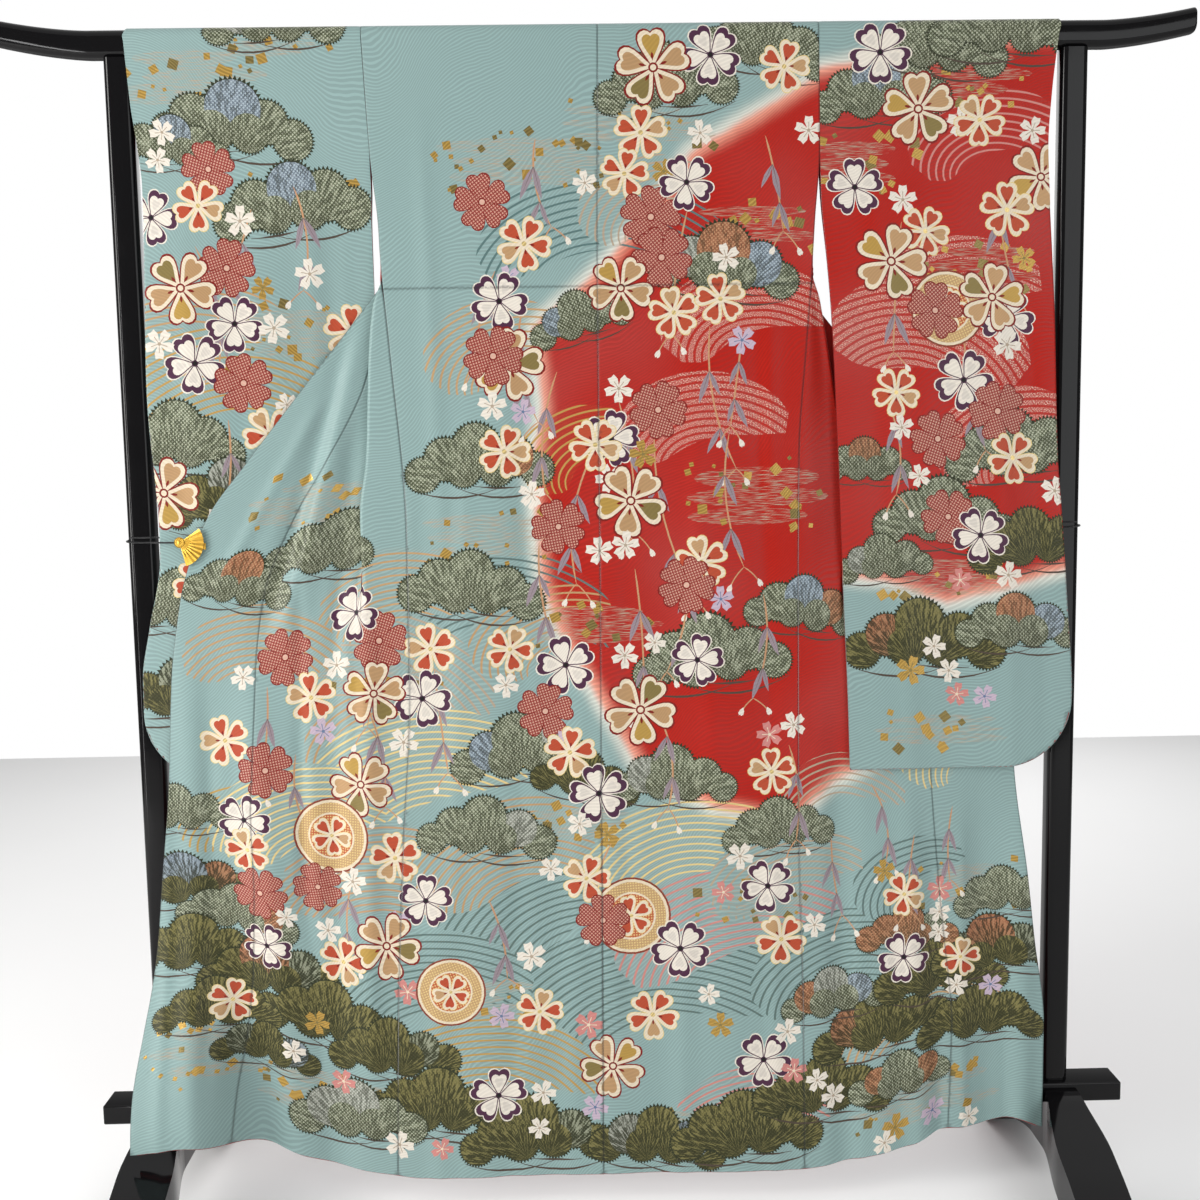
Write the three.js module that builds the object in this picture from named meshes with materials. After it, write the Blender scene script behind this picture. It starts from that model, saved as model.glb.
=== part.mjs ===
// A long-sleeved furisode kimono hung on its lacquered kimono stand, back outwards, with both
// fronts opened out like wings and clipped to the posts.
// Millimetres, +Z up, X across the kimono, -Y towards its display side, origin on the floor
// under the middle of the stand.
import * as THREE from 'three';

// ---------------------------------------------------------------- driving sizes
const CLOTH = 1.4;                  // lined silk, outer cloth and lining together
const SEAM_GAP = 0.3;               // between pieces that are sewn together
const LAYER_GAP = 0.5;              // between the layers of one sleeve
const BEHIND_GAP = 0.9;             // behind a panel, to the collar or the hem lining

const RAIL = { bottom: 1677, top: 1715, halfDepth: 15, corner: 12, halfLength: 834, tipRise: 18, bendFrom: 700 };
const POST = { x: 664, width: 38, depth: 30, corner: 9 };
const CROSSBAR = { bottom: 146, top: 175, halfDepth: 24.5, halfLength: 760, edge: 2.5 };
const FOOT = { x: 667, widthMiddle: 48, widthToe: 78, edge: 3 };

const HEM = 56;                     // height of the hem at the centre seam
const RAIL_CLEAR = 0.6;             // cloth to rail
const SHOULDER_SPRING = RAIL.top - RAIL.corner;             // where the cloth starts to bend over the rail
const OVER_RADIUS = RAIL.corner + RAIL_CLEAR + CLOTH;       // of the outer surface over the rail
const OVER_FLAT = RAIL.halfDepth - RAIL.corner;             // half the flat on the rail's top
const RAIL_FACE = OVER_FLAT + OVER_RADIUS;                  // outer surface beside the rail

const SEAM_TOP = 1409;              // where the side seam starts, below the armpit opening
const OKUMI_TOP = 1365;             // the tip of the overlap panel
const ARMHOLE_BOTTOM = 1543;        // the sleeve is sewn on above this height
const FRONT_WIDTH = 232;            // front panel from side seam to overlap seam
const SHOULDER_FRONT_WIDTH = 237;   // front panel from armhole to neck
const SLEEVE_WIDTH = 323;
const SLEEVE_BOTTOM = 662;
const SLEEVE_CORNER = 100;          // radius of the rounded lower corner
const COLLAR_WIDTH = 55;            // folded double, as it is worn
const COLLAR_TOP = 1470;            // above this the turned collar is inside the fold of the front
const COLLAR_END = 850;
const NECK_HALF = 92;
const FOLD_RADIUS = 5;              // of the deep folds behind the body
const TIE_HEIGHT = 1003;

const COLOURS = {
  aqua: '#93b1af', red: '#b62d14', lining: '#7d1512', lacquer: '#060608', gold: '#c79a2b', cord: '#08080a',
};

// ---------------------------------------------------------------- small tools
const clamp = (value, low, high) => Math.min(high, Math.max(low, value));
const lerp = (a, b, t) => a + (b - a) * t;
const smooth = (value) => {
  const t = clamp(value, 0, 1);
  return t * t * (3 - 2 * t);
};

// A table with named columns, read at any value of its first column by a monotone cubic.
function table(names, rows) {
  const sorted = [...rows].sort((a, b) => a[0] - b[0]);
  const keys = sorted.map((row) => row[0]);
  const slopes = names.map((_, column) => {
    const secant = keys.slice(1).map((key, i) => (sorted[i + 1][column] - sorted[i][column]) / (key - keys[i]));
    return keys.map((_, i) => {
      if (i === 0) return secant[0];
      if (i === keys.length - 1) return secant[i - 1];
      const product = secant[i - 1] * secant[i];
      return product <= 0 ? 0 : (2 * product) / (secant[i - 1] + secant[i]);
    });
  });
  return (key) => {
    const at = clamp(key, keys[0], keys[keys.length - 1]);
    const i = Math.max(0, Math.min(keys.length - 2, keys.findIndex((k) => k > at) - 1));
    const last = at >= keys[keys.length - 1] ? keys.length - 2 : i;
    const width = keys[last + 1] - keys[last];
    const t = (at - keys[last]) / width;
    const read = {};
    names.forEach((name, column) => {
      const a = sorted[last][column];
      const b = sorted[last + 1][column];
      read[name] = (2 * t ** 3 - 3 * t ** 2 + 1) * a + (t ** 3 - 2 * t ** 2 + t) * width * slopes[column][last]
        + (3 * t ** 2 - 2 * t ** 3) * b + (t ** 3 - t ** 2) * width * slopes[column][last + 1];
    });
    return read;
  };
}

// Heights from low to high with a named number of steps.
const steps = (low, high, count) => Array.from({ length: count + 1 }, (_, i) => lerp(low, high, i / count));

// ---------------------------------------------------------------- the cloth's tables
// x of the centre seam, which hangs a little out of plumb.
const centreSeam = table(['z', 'x'], [[1717, -1], [1337, -7], [916, -10], [626, -13], [HEM, -19]]);

// Distance of the side seams (armhole seams above the armpit) from x = 0.
const sideSeam = {
  left: table(['z', 'q'], [
    [1717, 328], [1543, 320], [1443, 311], [1409, 310], [1272, 300], [1024, 284], [864, 285], [786, 286],
    [543, 303], [300, 317], [HEM, 325],
  ]),
  right: table(['z', 'q'], [
    [1717, 305], [1543, 306], [1443, 299], [1409, 297], [1338, 292], [1264, 286], [1125, 276], [912, 274],
    [693, 274], [530, 275], [318, 280], [HEM, 282],
  ]),
};

// Depth of the back panels' outer surface.
const backDepth = table(['z', 'y'], [
  [1717, -17], [1690, -17], [1500, -20], [1200, -24], [900, -27], [600, -30], [300, -33], [HEM, -35],
]);

// The opened fronts, a row for each height: the front edge and its depth, the overlap panel's width, how far the
// front panel runs out to its first ridge and that ridge's depth, the depth of the fold behind the body, how much
// of all this is folded, and the depth of the side edge.
const FRONT_COLUMNS = ['z', 'edge', 'edgeDepth', 'okumi', 'ridge', 'ridgeDepth', 'foldDepth', 'folded', 'sideDepth'];
const fronts = {
  left: table(FRONT_COLUMNS, [
    [1717, 92, 17, 0, 0, 17, 17, 0, 17], [1690, 92, 17, 0, 0, 17, 17, 0, 17], [1640, 97, 17, 0, 0, 14, 17, 0, 14],
    [1560, 156, 16, 0, 0, 2, 14, 0, 2], [1480, 220, 12, 0, 0, -10, 8, 1, -10], [1409, 277, 4, 0, 0, -19, 2, 1, -19],
    [1355, 320, -2, 14, 8, -22, -2, 1, -22], [1300, 364, -6, 45, 20, -24, -3, 1, -23],
    [1205, 440, -14, 92, 34, -25, -4, 1, -24], [1120, 507, -21, 112, 46, -26, -6, 1, -25],
    [1047, 562, -27, 121, 60, -28, -12, 1, -26],
    [985, 590, -29, 124, 62, -30, -18, 0.7, -27], [900, 614, -30, 124, 60, -30, -24, 0.2, -28],
    [820, 624, -31, 126, 58, -30, -26, 0, -28], [641, 637, -32, 124, 55, -31, -28, 0, -30],
    [470, 654, -34, 146, 50, -32, -30, 0, -31], [318, 666, -34, 152, 50, -33, -32, 0, -33],
    [232, 676, -34, 150, 50, -34, -32, 0, -34], [130, 688, -34, 140, 50, -35, -33, 0, -35],
    [HEM, 691, -34, 132, 50, -35, -34, 0, -35],
  ]),
  right: table(FRONT_COLUMNS, [
    [1717, 92, 17, 0, 0, 17, 17, 0, 17], [1690, 92, 17, 0, 0, 17, 17, 0, 17], [1640, 93, 17, 0, 0, 14, 17, 0, 14],
    [1560, 128, 16, 0, 0, 2, 14, 0, 2], [1480, 188, 14, 0, 0, -10, 11, 1, -10], [1409, 243, 10, 0, 0, -19, 6, 1, -19],
    [1355, 285, 8, 14, 6, -20, 3, 1, -22], [1300, 328, 4, 45, 20, -16, 2, 1, -23], [1205, 402, 0, 92, 44, -13, 1, 1, -24],
    [1120, 468, -4, 112, 62, -13, 0, 1, -25], [1047, 524, -8, 121, 66, -14, -4, 1, -26],
    [985, 566, -9, 124, 66, -15, -8, 0.8, -27], [900, 578, -12, 126, 64, -18, -12, 0.3, -27],
    [820, 584, -15, 135, 60, -22, -16, 0, -28], [665, 591, -22, 147, 55, -26, -22, 0, -29],
    [480, 610, -31, 148, 50, -31, -30, 0, -31], [375, 621, -33, 146, 50, -32, -32, 0, -32],
    [225, 638, -34, 145, 50, -34, -32, 0, -34], [HEM, 638, -35, 152, 50, -35, -34, 0, -35],
  ]),
};

// How far the hem is pulled up along each opened front, by distance from x = 0.
const hemLift = {
  left: table(['q', 'lift'], [
    [0, 0], [290, 1], [330, 7], [400, 20], [447, 38], [492, 56], [523, 71], [578, 90], [613, 97], [692, 89],
  ]),
  right: table(['q', 'lift'], [
    [0, 0], [265, 0], [312, 4], [395, 23], [442, 37], [489, 58], [537, 62], [594, 74], [638, 57],
  ]),
};
const LIFT_FROM = 700;              // the pull fades out by this height

// The left front's lower corner leans out over the foot of the stand.
const FOOT_LEAN = { depth: 79, from: 500, over: 110, top: 480 };

// Soft folds: a ridge (or with a negative depth, a trough) that runs from (q, z) at its top to (q, z) at its foot.
const FOLD_COLUMNS = ['side', 'topQ', 'topZ', 'lowQ', 'lowZ', 'depth', 'width'];
const FOLDS = [
  ['left', 330, 1330, 430, 960, 5, 16],
  ['left', 330, 1330, 462, 960, -4, 14],
  ['left', 345, 1010, 352, 300, 6, 20],
  ['left', 395, 900, 410, 60, -6, 24],
  ['left', 520, 900, 470, 60, 7, 26],
  ['left', 600, 930, 610, 300, 5, 26],
  ['left', 560, 700, 540, 60, -5, 24],
  ['left', 150, 1500, 210, 60, 3, 40],
  ['left', 60, 1200, 90, 60, -3, 40],
  ['right', 330, 900, 345, 60, -6, 24],
  ['right', 430, 700, 452, 90, 7, 20],
  ['right', 392, 640, 400, 60, 5, 24],
  ['right', 540, 700, 560, 60, -6, 28],
  ['right', 600, 660, 606, 60, 6, 20],
  ['right', 150, 1500, 180, 60, 3, 40],
  ['right', 80, 1200, 60, 60, -3, 40],
].map((row) => Object.fromEntries(FOLD_COLUMNS.map((name, i) => [name, row[i]])));

function softFolds(side, q, z) {
  return FOLDS.filter((fold) => fold.side === side).reduce((sum, fold) => {
    const along = (fold.topZ - z) / (fold.topZ - fold.lowZ);
    const fade = smooth(along * 3) * smooth((1.4 - along) * 2.5);
    const middle = lerp(fold.topQ, fold.lowQ, along);
    return sum - fold.depth * fade * Math.exp(-(((q - middle) / fold.width) ** 2));
  }, 0);
}

function lifted(side, q, z) {
  return z + hemLift[side](q).lift * smooth((LIFT_FROM - z) / (LIFT_FROM - HEM));
}

function footLean(side, q, z) {
  if (side === 'right') return 0;
  return -FOOT_LEAN.depth * smooth((q - FOOT_LEAN.from) / FOOT_LEAN.over)
    * smooth((FOOT_LEAN.top - z) / (FOOT_LEAN.top - HEM)) ** 1.3;
}

// ---------------------------------------------------------------- walls
// A closed wall as thick as the cloth, that starts near below the surface pointAt(column, row), measured towards
// the garment's inside on its own normals. Panels that meet at a seam share acrossAt, the
// direction across the cloth there. A looped wall's columns close on themselves.
function clothWall({ columns, rows, pointAt, acrossAt, near = 0, insideIs, looped = false }) {
  const surface = Array.from({ length: columns }, (_, i) => Array.from({ length: rows }, (_, j) => pointAt(i, j)));
  const between = (i, j) => {
    const before = looped ? surface[(i + columns - 1) % columns][j] : surface[Math.max(0, i - 1)][j];
    const after = looped ? surface[(i + 1) % columns][j] : surface[Math.min(columns - 1, i + 1)][j];
    return after.clone().sub(before);
  };
  const inwards = (i, j) => {
    const across = (acrossAt ?? between)(i, j);
    const along = surface[i][Math.min(rows - 1, j + 1)].clone().sub(surface[i][Math.max(0, j - 1)]);
    return across.cross(along).normalize().multiplyScalar(insideIs);
  };
  const positions = [];
  [0, CLOTH].forEach((depth) => {
    for (let i = 0; i < columns; i += 1) {
      for (let j = 0; j < rows; j += 1) {
        positions.push(...surface[i][j].clone().addScaledVector(inwards(i, j), near + depth).toArray());
      }
    }
  });
  const faces = [];
  const quad = (a, b, c, d) => faces.push(a, b, c, a, c, d);
  const index = (layer, i, j) => layer * columns * rows + (i % columns) * rows + j;
  const lastColumn = looped ? columns : columns - 1;
  for (let i = 0; i < lastColumn; i += 1) {
    for (let j = 0; j < rows - 1; j += 1) {
      quad(index(0, i, j), index(0, i, j + 1), index(0, i + 1, j + 1), index(0, i + 1, j));
      quad(index(1, i, j), index(1, i + 1, j), index(1, i + 1, j + 1), index(1, i, j + 1));
    }
    quad(index(0, i, 0), index(0, i + 1, 0), index(1, i + 1, 0), index(1, i, 0));
    quad(index(0, i, rows - 1), index(1, i, rows - 1), index(1, i + 1, rows - 1), index(0, i + 1, rows - 1));
  }
  if (!looped) {
    for (let j = 0; j < rows - 1; j += 1) {
      quad(index(0, 0, j), index(1, 0, j), index(1, 0, j + 1), index(0, 0, j + 1));
      const c = columns - 1;
      quad(index(0, c, j), index(0, c, j + 1), index(1, c, j + 1), index(1, c, j));
    }
  }
  return outwardSolid(positions, faces);
}

// A geometry from shared points, turned so that its faces point out.
function outwardSolid(positions, faces) {
  let volume = 0;
  const corner = (f) => new THREE.Vector3(...positions.slice(faces[f] * 3, faces[f] * 3 + 3));
  for (let f = 0; f < faces.length; f += 3) {
    volume += corner(f).dot(corner(f + 1).cross(corner(f + 2)));
  }
  if (volume < 0) {
    for (let f = 0; f < faces.length; f += 3) {
      [faces[f + 1], faces[f + 2]] = [faces[f + 2], faces[f + 1]];
    }
  }
  const geometry = new THREE.BufferGeometry();
  geometry.setAttribute('position', new THREE.Float32BufferAttribute(positions, 3));
  geometry.setIndex(faces);
  return geometry;
}

const group = new THREE.Group();
const finish = {
  silkLeft: { color: COLOURS.aqua, roughness: 0.6, metalness: 0 },
  silkRight: { color: COLOURS.red, roughness: 0.6, metalness: 0 },
  lining: { color: COLOURS.lining, roughness: 0.7, metalness: 0 },
  lacquer: { color: COLOURS.lacquer, roughness: 0.15, metalness: 0 },
  gold: { color: COLOURS.gold, roughness: 0.25, metalness: 1 },
  cord: { color: COLOURS.cord, roughness: 0.6, metalness: 0 },
};

const silk = { left: finish.silkLeft, right: finish.silkRight };

function add(name, geometry, look) {
  const mesh = new THREE.Mesh(geometry, new THREE.MeshStandardMaterial(look));
  mesh.name = name;
  group.add(mesh);
}

// ---------------------------------------------------------------- body: back, fronts and overlap panels
const sign = { left: -1, right: 1 };
const OVER_STEPS = 4;
const BACK_COLUMNS = 8;

// The angles of the bend over the rail, ending at the shoulder line.
const overRows = [
  ...steps(0, Math.PI / 2, OVER_STEPS).map((angle) => ({ angle })),
  { angle: Math.PI / 2, shoulder: true },
];

function overRail(face, row) {
  const y = row.shoulder ? SEAM_GAP / 2 : OVER_FLAT + OVER_RADIUS * Math.cos(row.angle);
  return { y: face * y, z: SHOULDER_SPRING + OVER_RADIUS * Math.sin(row.angle) };
}

// Heights of the rows below the rail: wide apart below the tie, closer where the fronts turn over.
const WIDE_ROWS_TOP = 900;
const LOWER_ROWS = [...steps(HEM, WIDE_ROWS_TOP, 8), ...steps(WIDE_ROWS_TOP, SEAM_TOP, 12).slice(1)].map((z) => ({ z }));
const UPPER_ROWS = steps(SEAM_TOP, SHOULDER_SPRING, 6).slice(1, -1).map((z) => ({ z }));

// A point of the back at height z, from the centre seam (t = 0) to the side seam (t = 1).
function backPoint(side, z, t) {
  const centre = centreSeam(z).x + sign[side] * SEAM_GAP / 2;
  const seam = sideSeam[side](z).q;
  const x = lerp(centre, sign[side] * (seam - SEAM_GAP / 2), t);
  const q = Math.abs(x);
  const fade = smooth((seam - q) / 40);
  return new THREE.Vector3(x, backDepth(z).y + softFolds(side, q, z) * fade, lifted(side, q, z));
}

function backPanel(side) {
  const rows = [...LOWER_ROWS, ...UPPER_ROWS, ...overRows];
  const columns = BACK_COLUMNS;
  const pointAt = (i, j) => {
    const row = rows[j];
    const point = backPoint(side, row.z ?? SHOULDER_SPRING, i / (columns - 1));
    if (row.z !== undefined) return point;
    const over = overRail(-1, row);
    return new THREE.Vector3(point.x, over.y, over.z);
  };
  add(`back_${side}`, clothWall({ columns, rows: rows.length, pointAt, insideIs: -sign[side] }), silk[side]);
}

// The level section of an opened front at one height, as q and y at the distance s from the side seam: out to a
// ridge, back behind the body, round a fold and out again to the front edge. Where the front isn't folded, the
// section runs straight.
const HINGE_CLEAR = 1.4;            // beside the seam where the front is turned straight back

function frontSection(side, z) {
  const row = fronts[side](z);
  const seam = sideSeam[side](z).q;
  const panel = lerp(FRONT_WIDTH, SHOULDER_FRONT_WIDTH, smooth((z - SEAM_TOP) / 200));
  const width = panel + row.okumi;
  const hinge = Math.PI * smooth((z - 1330) / (SEAM_TOP - 1330));
  const startQ = seam + SEAM_GAP / 2 + HINGE_CLEAR * Math.sin(hinge);
  const startY = Math.max(row.sideDepth, backDepth(z).y + (1 - Math.cos(hinge)) / 2 * (2 * CLOTH + 2 * SEAM_GAP));
  const r = FOLD_RADIUS;
  const ridge = row.ridge;
  const fixed = startQ + ridge * (Math.cos(hinge) - 1) - r * Math.sin(hinge) - r * (2 * Math.PI - hinge);
  const back = Math.max(2, (fixed + width - row.edge) / 2);
  const ends = [ridge, ridge + r * (Math.PI - hinge), 0, 0];
  ends[2] = ends[1] + back;
  ends[3] = ends[2] + Math.PI * r;
  const ridgeY = lerp(row.ridgeDepth, startY, Math.sin(hinge / 2));
  const backY = ridgeY + r * (1 + Math.cos(hinge));
  const farY = backY + 2 * r;
  const folded = (s) => {
    if (s <= ends[0]) return [startQ + s * Math.cos(hinge), lerp(startY, ridgeY, smooth(s / Math.max(ridge, 1)))];
    if (s <= ends[1]) {
      const turn = hinge + (s - ends[0]) / r;
      return [
        startQ + ridge * Math.cos(hinge) + r * (Math.sin(turn) - Math.sin(hinge)),
        ridgeY + r * (Math.cos(hinge) - Math.cos(turn)),
      ];
    }
    const foldQ = startQ + ridge * Math.cos(hinge) - r * Math.sin(hinge);
    const shift = row.foldDepth - farY;
    if (s <= ends[2]) return [foldQ - (s - ends[1]), backY + shift * smooth((s - ends[1]) / back)];
    if (s <= ends[3]) {
      const turn = (s - ends[2]) / r;
      return [foldQ - back - r * Math.sin(turn), backY + shift + r * (1 - Math.cos(turn))];
    }
    const last = Math.max(1, width - ends[3]);
    const t = (s - ends[3]) / last;
    return [foldQ - back + (s - ends[3]), lerp(row.foldDepth, row.edgeDepth, t)];
  };
  const straight = (s) => [lerp(startQ, row.edge, s / width), lerp(startY, row.edgeDepth, s / width)];
  return {
    width,
    panel,
    ends,
    at(s) {
      const a = straight(s);
      const b = folded(s);
      const q = lerp(a[0], b[0], row.folded);
      const y = lerp(a[1], b[1], row.folded);
      const free = smooth((s - ends[0] * row.folded) / 60);
      return { q, y: y + softFolds(side, q, z) * free + footLean(side, q, z), z: lifted(side, q, z) };
    },
  };
}

// Columns gather in the bends: the number of steps in each stretch of the front panel.
const FRONT_STEPS = [2, 4, 3, 4, 4];
const SHORTEST_STRETCH = 8;

function frontStations(section) {
  const stops = [0];
  [...section.ends, section.panel].forEach((end, k) => {
    const room = section.panel - SHORTEST_STRETCH * (FRONT_STEPS.length - 1 - k);
    stops.push(clamp(end, stops[k] + SHORTEST_STRETCH, room));
  });
  stops[stops.length - 1] = section.panel - SEAM_GAP / 2;
  const stations = [0];
  FRONT_STEPS.forEach((count, k) => {
    steps(stops[k], stops[k + 1], count).slice(1).forEach((s) => stations.push(s));
  });
  return stations;
}

function sectionPoint(side, section, s) {
  const point = section.at(s);
  return new THREE.Vector3(sign[side] * point.q, point.y, point.z);
}

const ACROSS_STEP = 3;

function sectionAcross(side, section, s) {
  return sectionPoint(side, section, s + ACROSS_STEP).sub(sectionPoint(side, section, s - ACROSS_STEP));
}

function frontPanel(side) {
  const rows = [...LOWER_ROWS, ...UPPER_ROWS, ...overRows];
  const columns = FRONT_STEPS.reduce((a, b) => a + b) + 1;
  const sections = rows.map((row) => frontSection(side, row.z ?? SHOULDER_SPRING));
  const stations = sections.map(frontStations);
  const acrossAt = (i, j) => sectionAcross(side, sections[j], stations[j][i]);
  const pointAt = (i, j) => {
    const point = sectionPoint(side, sections[j], stations[j][i]);
    if (rows[j].z === undefined) {
      const over = overRail(1, rows[j]);
      return new THREE.Vector3(point.x, over.y, over.z);
    }
    return point;
  };
  const wall = clothWall({ columns, rows: rows.length, pointAt, acrossAt, insideIs: -sign[side] });
  add(`front_${side}`, wall, silk[side]);
}

const OKUMI_COLUMNS = 6;
const okumiStations = (section) => steps(section.panel + SEAM_GAP / 2, section.width, OKUMI_COLUMNS - 1);

function okumiPanel(side) {
  const rows = LOWER_ROWS.filter((row) => row.z < OKUMI_TOP);
  const columns = OKUMI_COLUMNS;
  const sections = rows.map((row) => frontSection(side, row.z));
  const stations = sections.map(okumiStations);
  const acrossAt = (i, j) => sectionAcross(side, sections[j], stations[j][i]);
  const pointAt = (i, j) => sectionPoint(side, sections[j], stations[j][i]);
  const wall = clothWall({ columns, rows: rows.length, pointAt, acrossAt, insideIs: -sign[side] });
  add(`okumi_${side}`, wall, silk[side]);
}

// ---------------------------------------------------------------- collar
// Folded double and turned behind the front edges, it follows their points, moved inwards.
function frontCollar(side) {
  const rows = [...LOWER_ROWS, ...UPPER_ROWS].filter((row) => row.z >= COLLAR_END && row.z <= COLLAR_TOP);
  const columns = 7;
  const sections = rows.map((row) => frontSection(side, row.z));
  const station = (i, j) => sections[j].width - lerp(COLLAR_WIDTH, 1, i / (columns - 1));
  const acrossAt = (i, j) => sectionAcross(side, sections[j], station(i, j));
  const pointAt = (i, j) => sectionPoint(side, sections[j], station(i, j));
  const wall = clothWall({
    columns, rows: rows.length, pointAt, acrossAt, near: CLOTH + BEHIND_GAP, insideIs: -sign[side],
  });
  add(`collar_${side}`, wall, silk.left);
}

// The back of the neck: the folded collar lies over the rail and hangs down behind it.
function neckCollar() {
  const over = steps(Math.PI / 2, 0, OVER_STEPS).map((angle) => {
    const row = overRail(1, { angle });
    return [row.y, row.z];
  });
  const line = [[SEAM_GAP / 2, SHOULDER_SPRING + OVER_RADIUS], ...over, [RAIL_FACE, 1685], [RAIL_FACE, 1663]];
  const columns = 7;
  const pointAt = (i, j) => {
    const x = lerp(-NECK_HALF + SEAM_GAP, NECK_HALF - SEAM_GAP, i / (columns - 1));
    return new THREE.Vector3(x, ...line[j]);
  };
  add('collar_neck', clothWall({ columns, rows: line.length, pointAt, insideIs: -1 }), silk.left);
}

// ---------------------------------------------------------------- hem lining
// The edge of the lining shows below the hem: a strip behind each stretch of it.
const LINING_PROUD = 3;

function hemLining(name, inside, pointAtHeight, columns) {
  const pointAt = (i, j) => {
    const upper = pointAtHeight(i, LOWER_ROWS[1].z);
    if (j === 1) return upper;
    const hem = pointAtHeight(i, HEM);
    return hem.addScaledVector(hem.clone().sub(upper).normalize(), LINING_PROUD);
  };
  add(name, clothWall({ columns, rows: 2, pointAt, near: CLOTH + BEHIND_GAP, insideIs: inside }), finish.lining);
}

function hemLinings() {
  const half = BACK_COLUMNS - 1;
  hemLining('hem_lining_back', -1, (i, z) => {
    const side = i < half ? 'left' : 'right';
    return backPoint(side, z, Math.abs(i - half) / half);
  }, 2 * half + 1);
  ['left', 'right'].forEach((side) => {
    const stations = (section) => [...frontStations(section), ...okumiStations(section).slice(1)];
    const count = stations(frontSection(side, HEM)).length;
    hemLining(`hem_lining_${side}`, -sign[side], (i, z) => {
      const section = frontSection(side, z);
      return sectionPoint(side, section, stations(section)[i]);
    }, count);
  });
}

// ---------------------------------------------------------------- sleeves
const sleeveEdges = {
  left: table(['z', 'inner', 'outer'], [
    [1717, 328, 653], [1611, 324, 646], [ARMHOLE_BOTTOM, 320, 638], [1500, 320, 635], [1448, 322, 636],
    [1355, 323, 639], [1209, 324, 643], [1086, 325, 637], [1040, 325, 635], [985, 325, 636], [885, 325, 656],
    [811, 325, 669], [SLEEVE_BOTTOM, 325, 671],
  ]),
  right: table(['z', 'inner', 'outer'], [
    [1717, 305, 642], [1611, 306, 630], [ARMHOLE_BOTTOM, 306, 626], [1488, 307, 628], [1385, 316, 634], [1310, 322, 638],
    [1118, 331, 645], [1012, 335, 654], [905, 339, 662], [768, 345, 671], [SLEEVE_BOTTOM, 348, 671],
  ]),
};

// Depth of the sleeve's display layer and its distance to the layer behind. The left sleeve is pushed back, next
// to the body, by the opened front that passes before it; the right sleeve hangs before its front.
const SLEEVE_COLUMNS = ['z', 'depth', 'push', 'gap', 'cuffGap'];
const CLOSED_GAP = 2 * CLOTH + LAYER_GAP;
const RAIL_GAP = 2 * RAIL_FACE;
const sleeveDepth = {
  left: table(SLEEVE_COLUMNS, [
    [1717, -17, 0, RAIL_GAP, RAIL_GAP], [1677, -17, 0, RAIL_GAP, RAIL_GAP], [1600, -17.5, 0, 28, 26],
    [ARMHOLE_BOTTOM, -18, 1, 22, 16], [1450, -20.5, 14, 10, CLOSED_GAP], [1350, -21.5, 26, 6, CLOSED_GAP],
    [1100, -21.5, 26, 5, CLOSED_GAP], [SLEEVE_BOTTOM, -22, 24, CLOSED_GAP, CLOSED_GAP],
  ]),
  right: table(SLEEVE_COLUMNS, [
    [1717, -17, 0, RAIL_GAP, RAIL_GAP], [1677, -17, 0, RAIL_GAP, RAIL_GAP], [1600, -18, 0, 27, 26],
    [ARMHOLE_BOTTOM, -19.5, 0, 20, 16], [1450, -22, 0, 10, CLOSED_GAP], [1350, -24, 0, 6, CLOSED_GAP],
    [1000, -29, 0, 5, CLOSED_GAP], [SLEEVE_BOTTOM, -33, 0, CLOSED_GAP, CLOSED_GAP],
  ]),
};
// The edge next to the body: sewn to the armhole above, free below.
function sleeveInner(side, z) {
  return (z >= ARMHOLE_BOTTOM ? sideSeam[side](z).q : sleeveEdges[side](z).inner) + SEAM_GAP;
}

const POST_CLEAR_X = 641;           // the layer behind stays inside the post while the cuff is open

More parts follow.
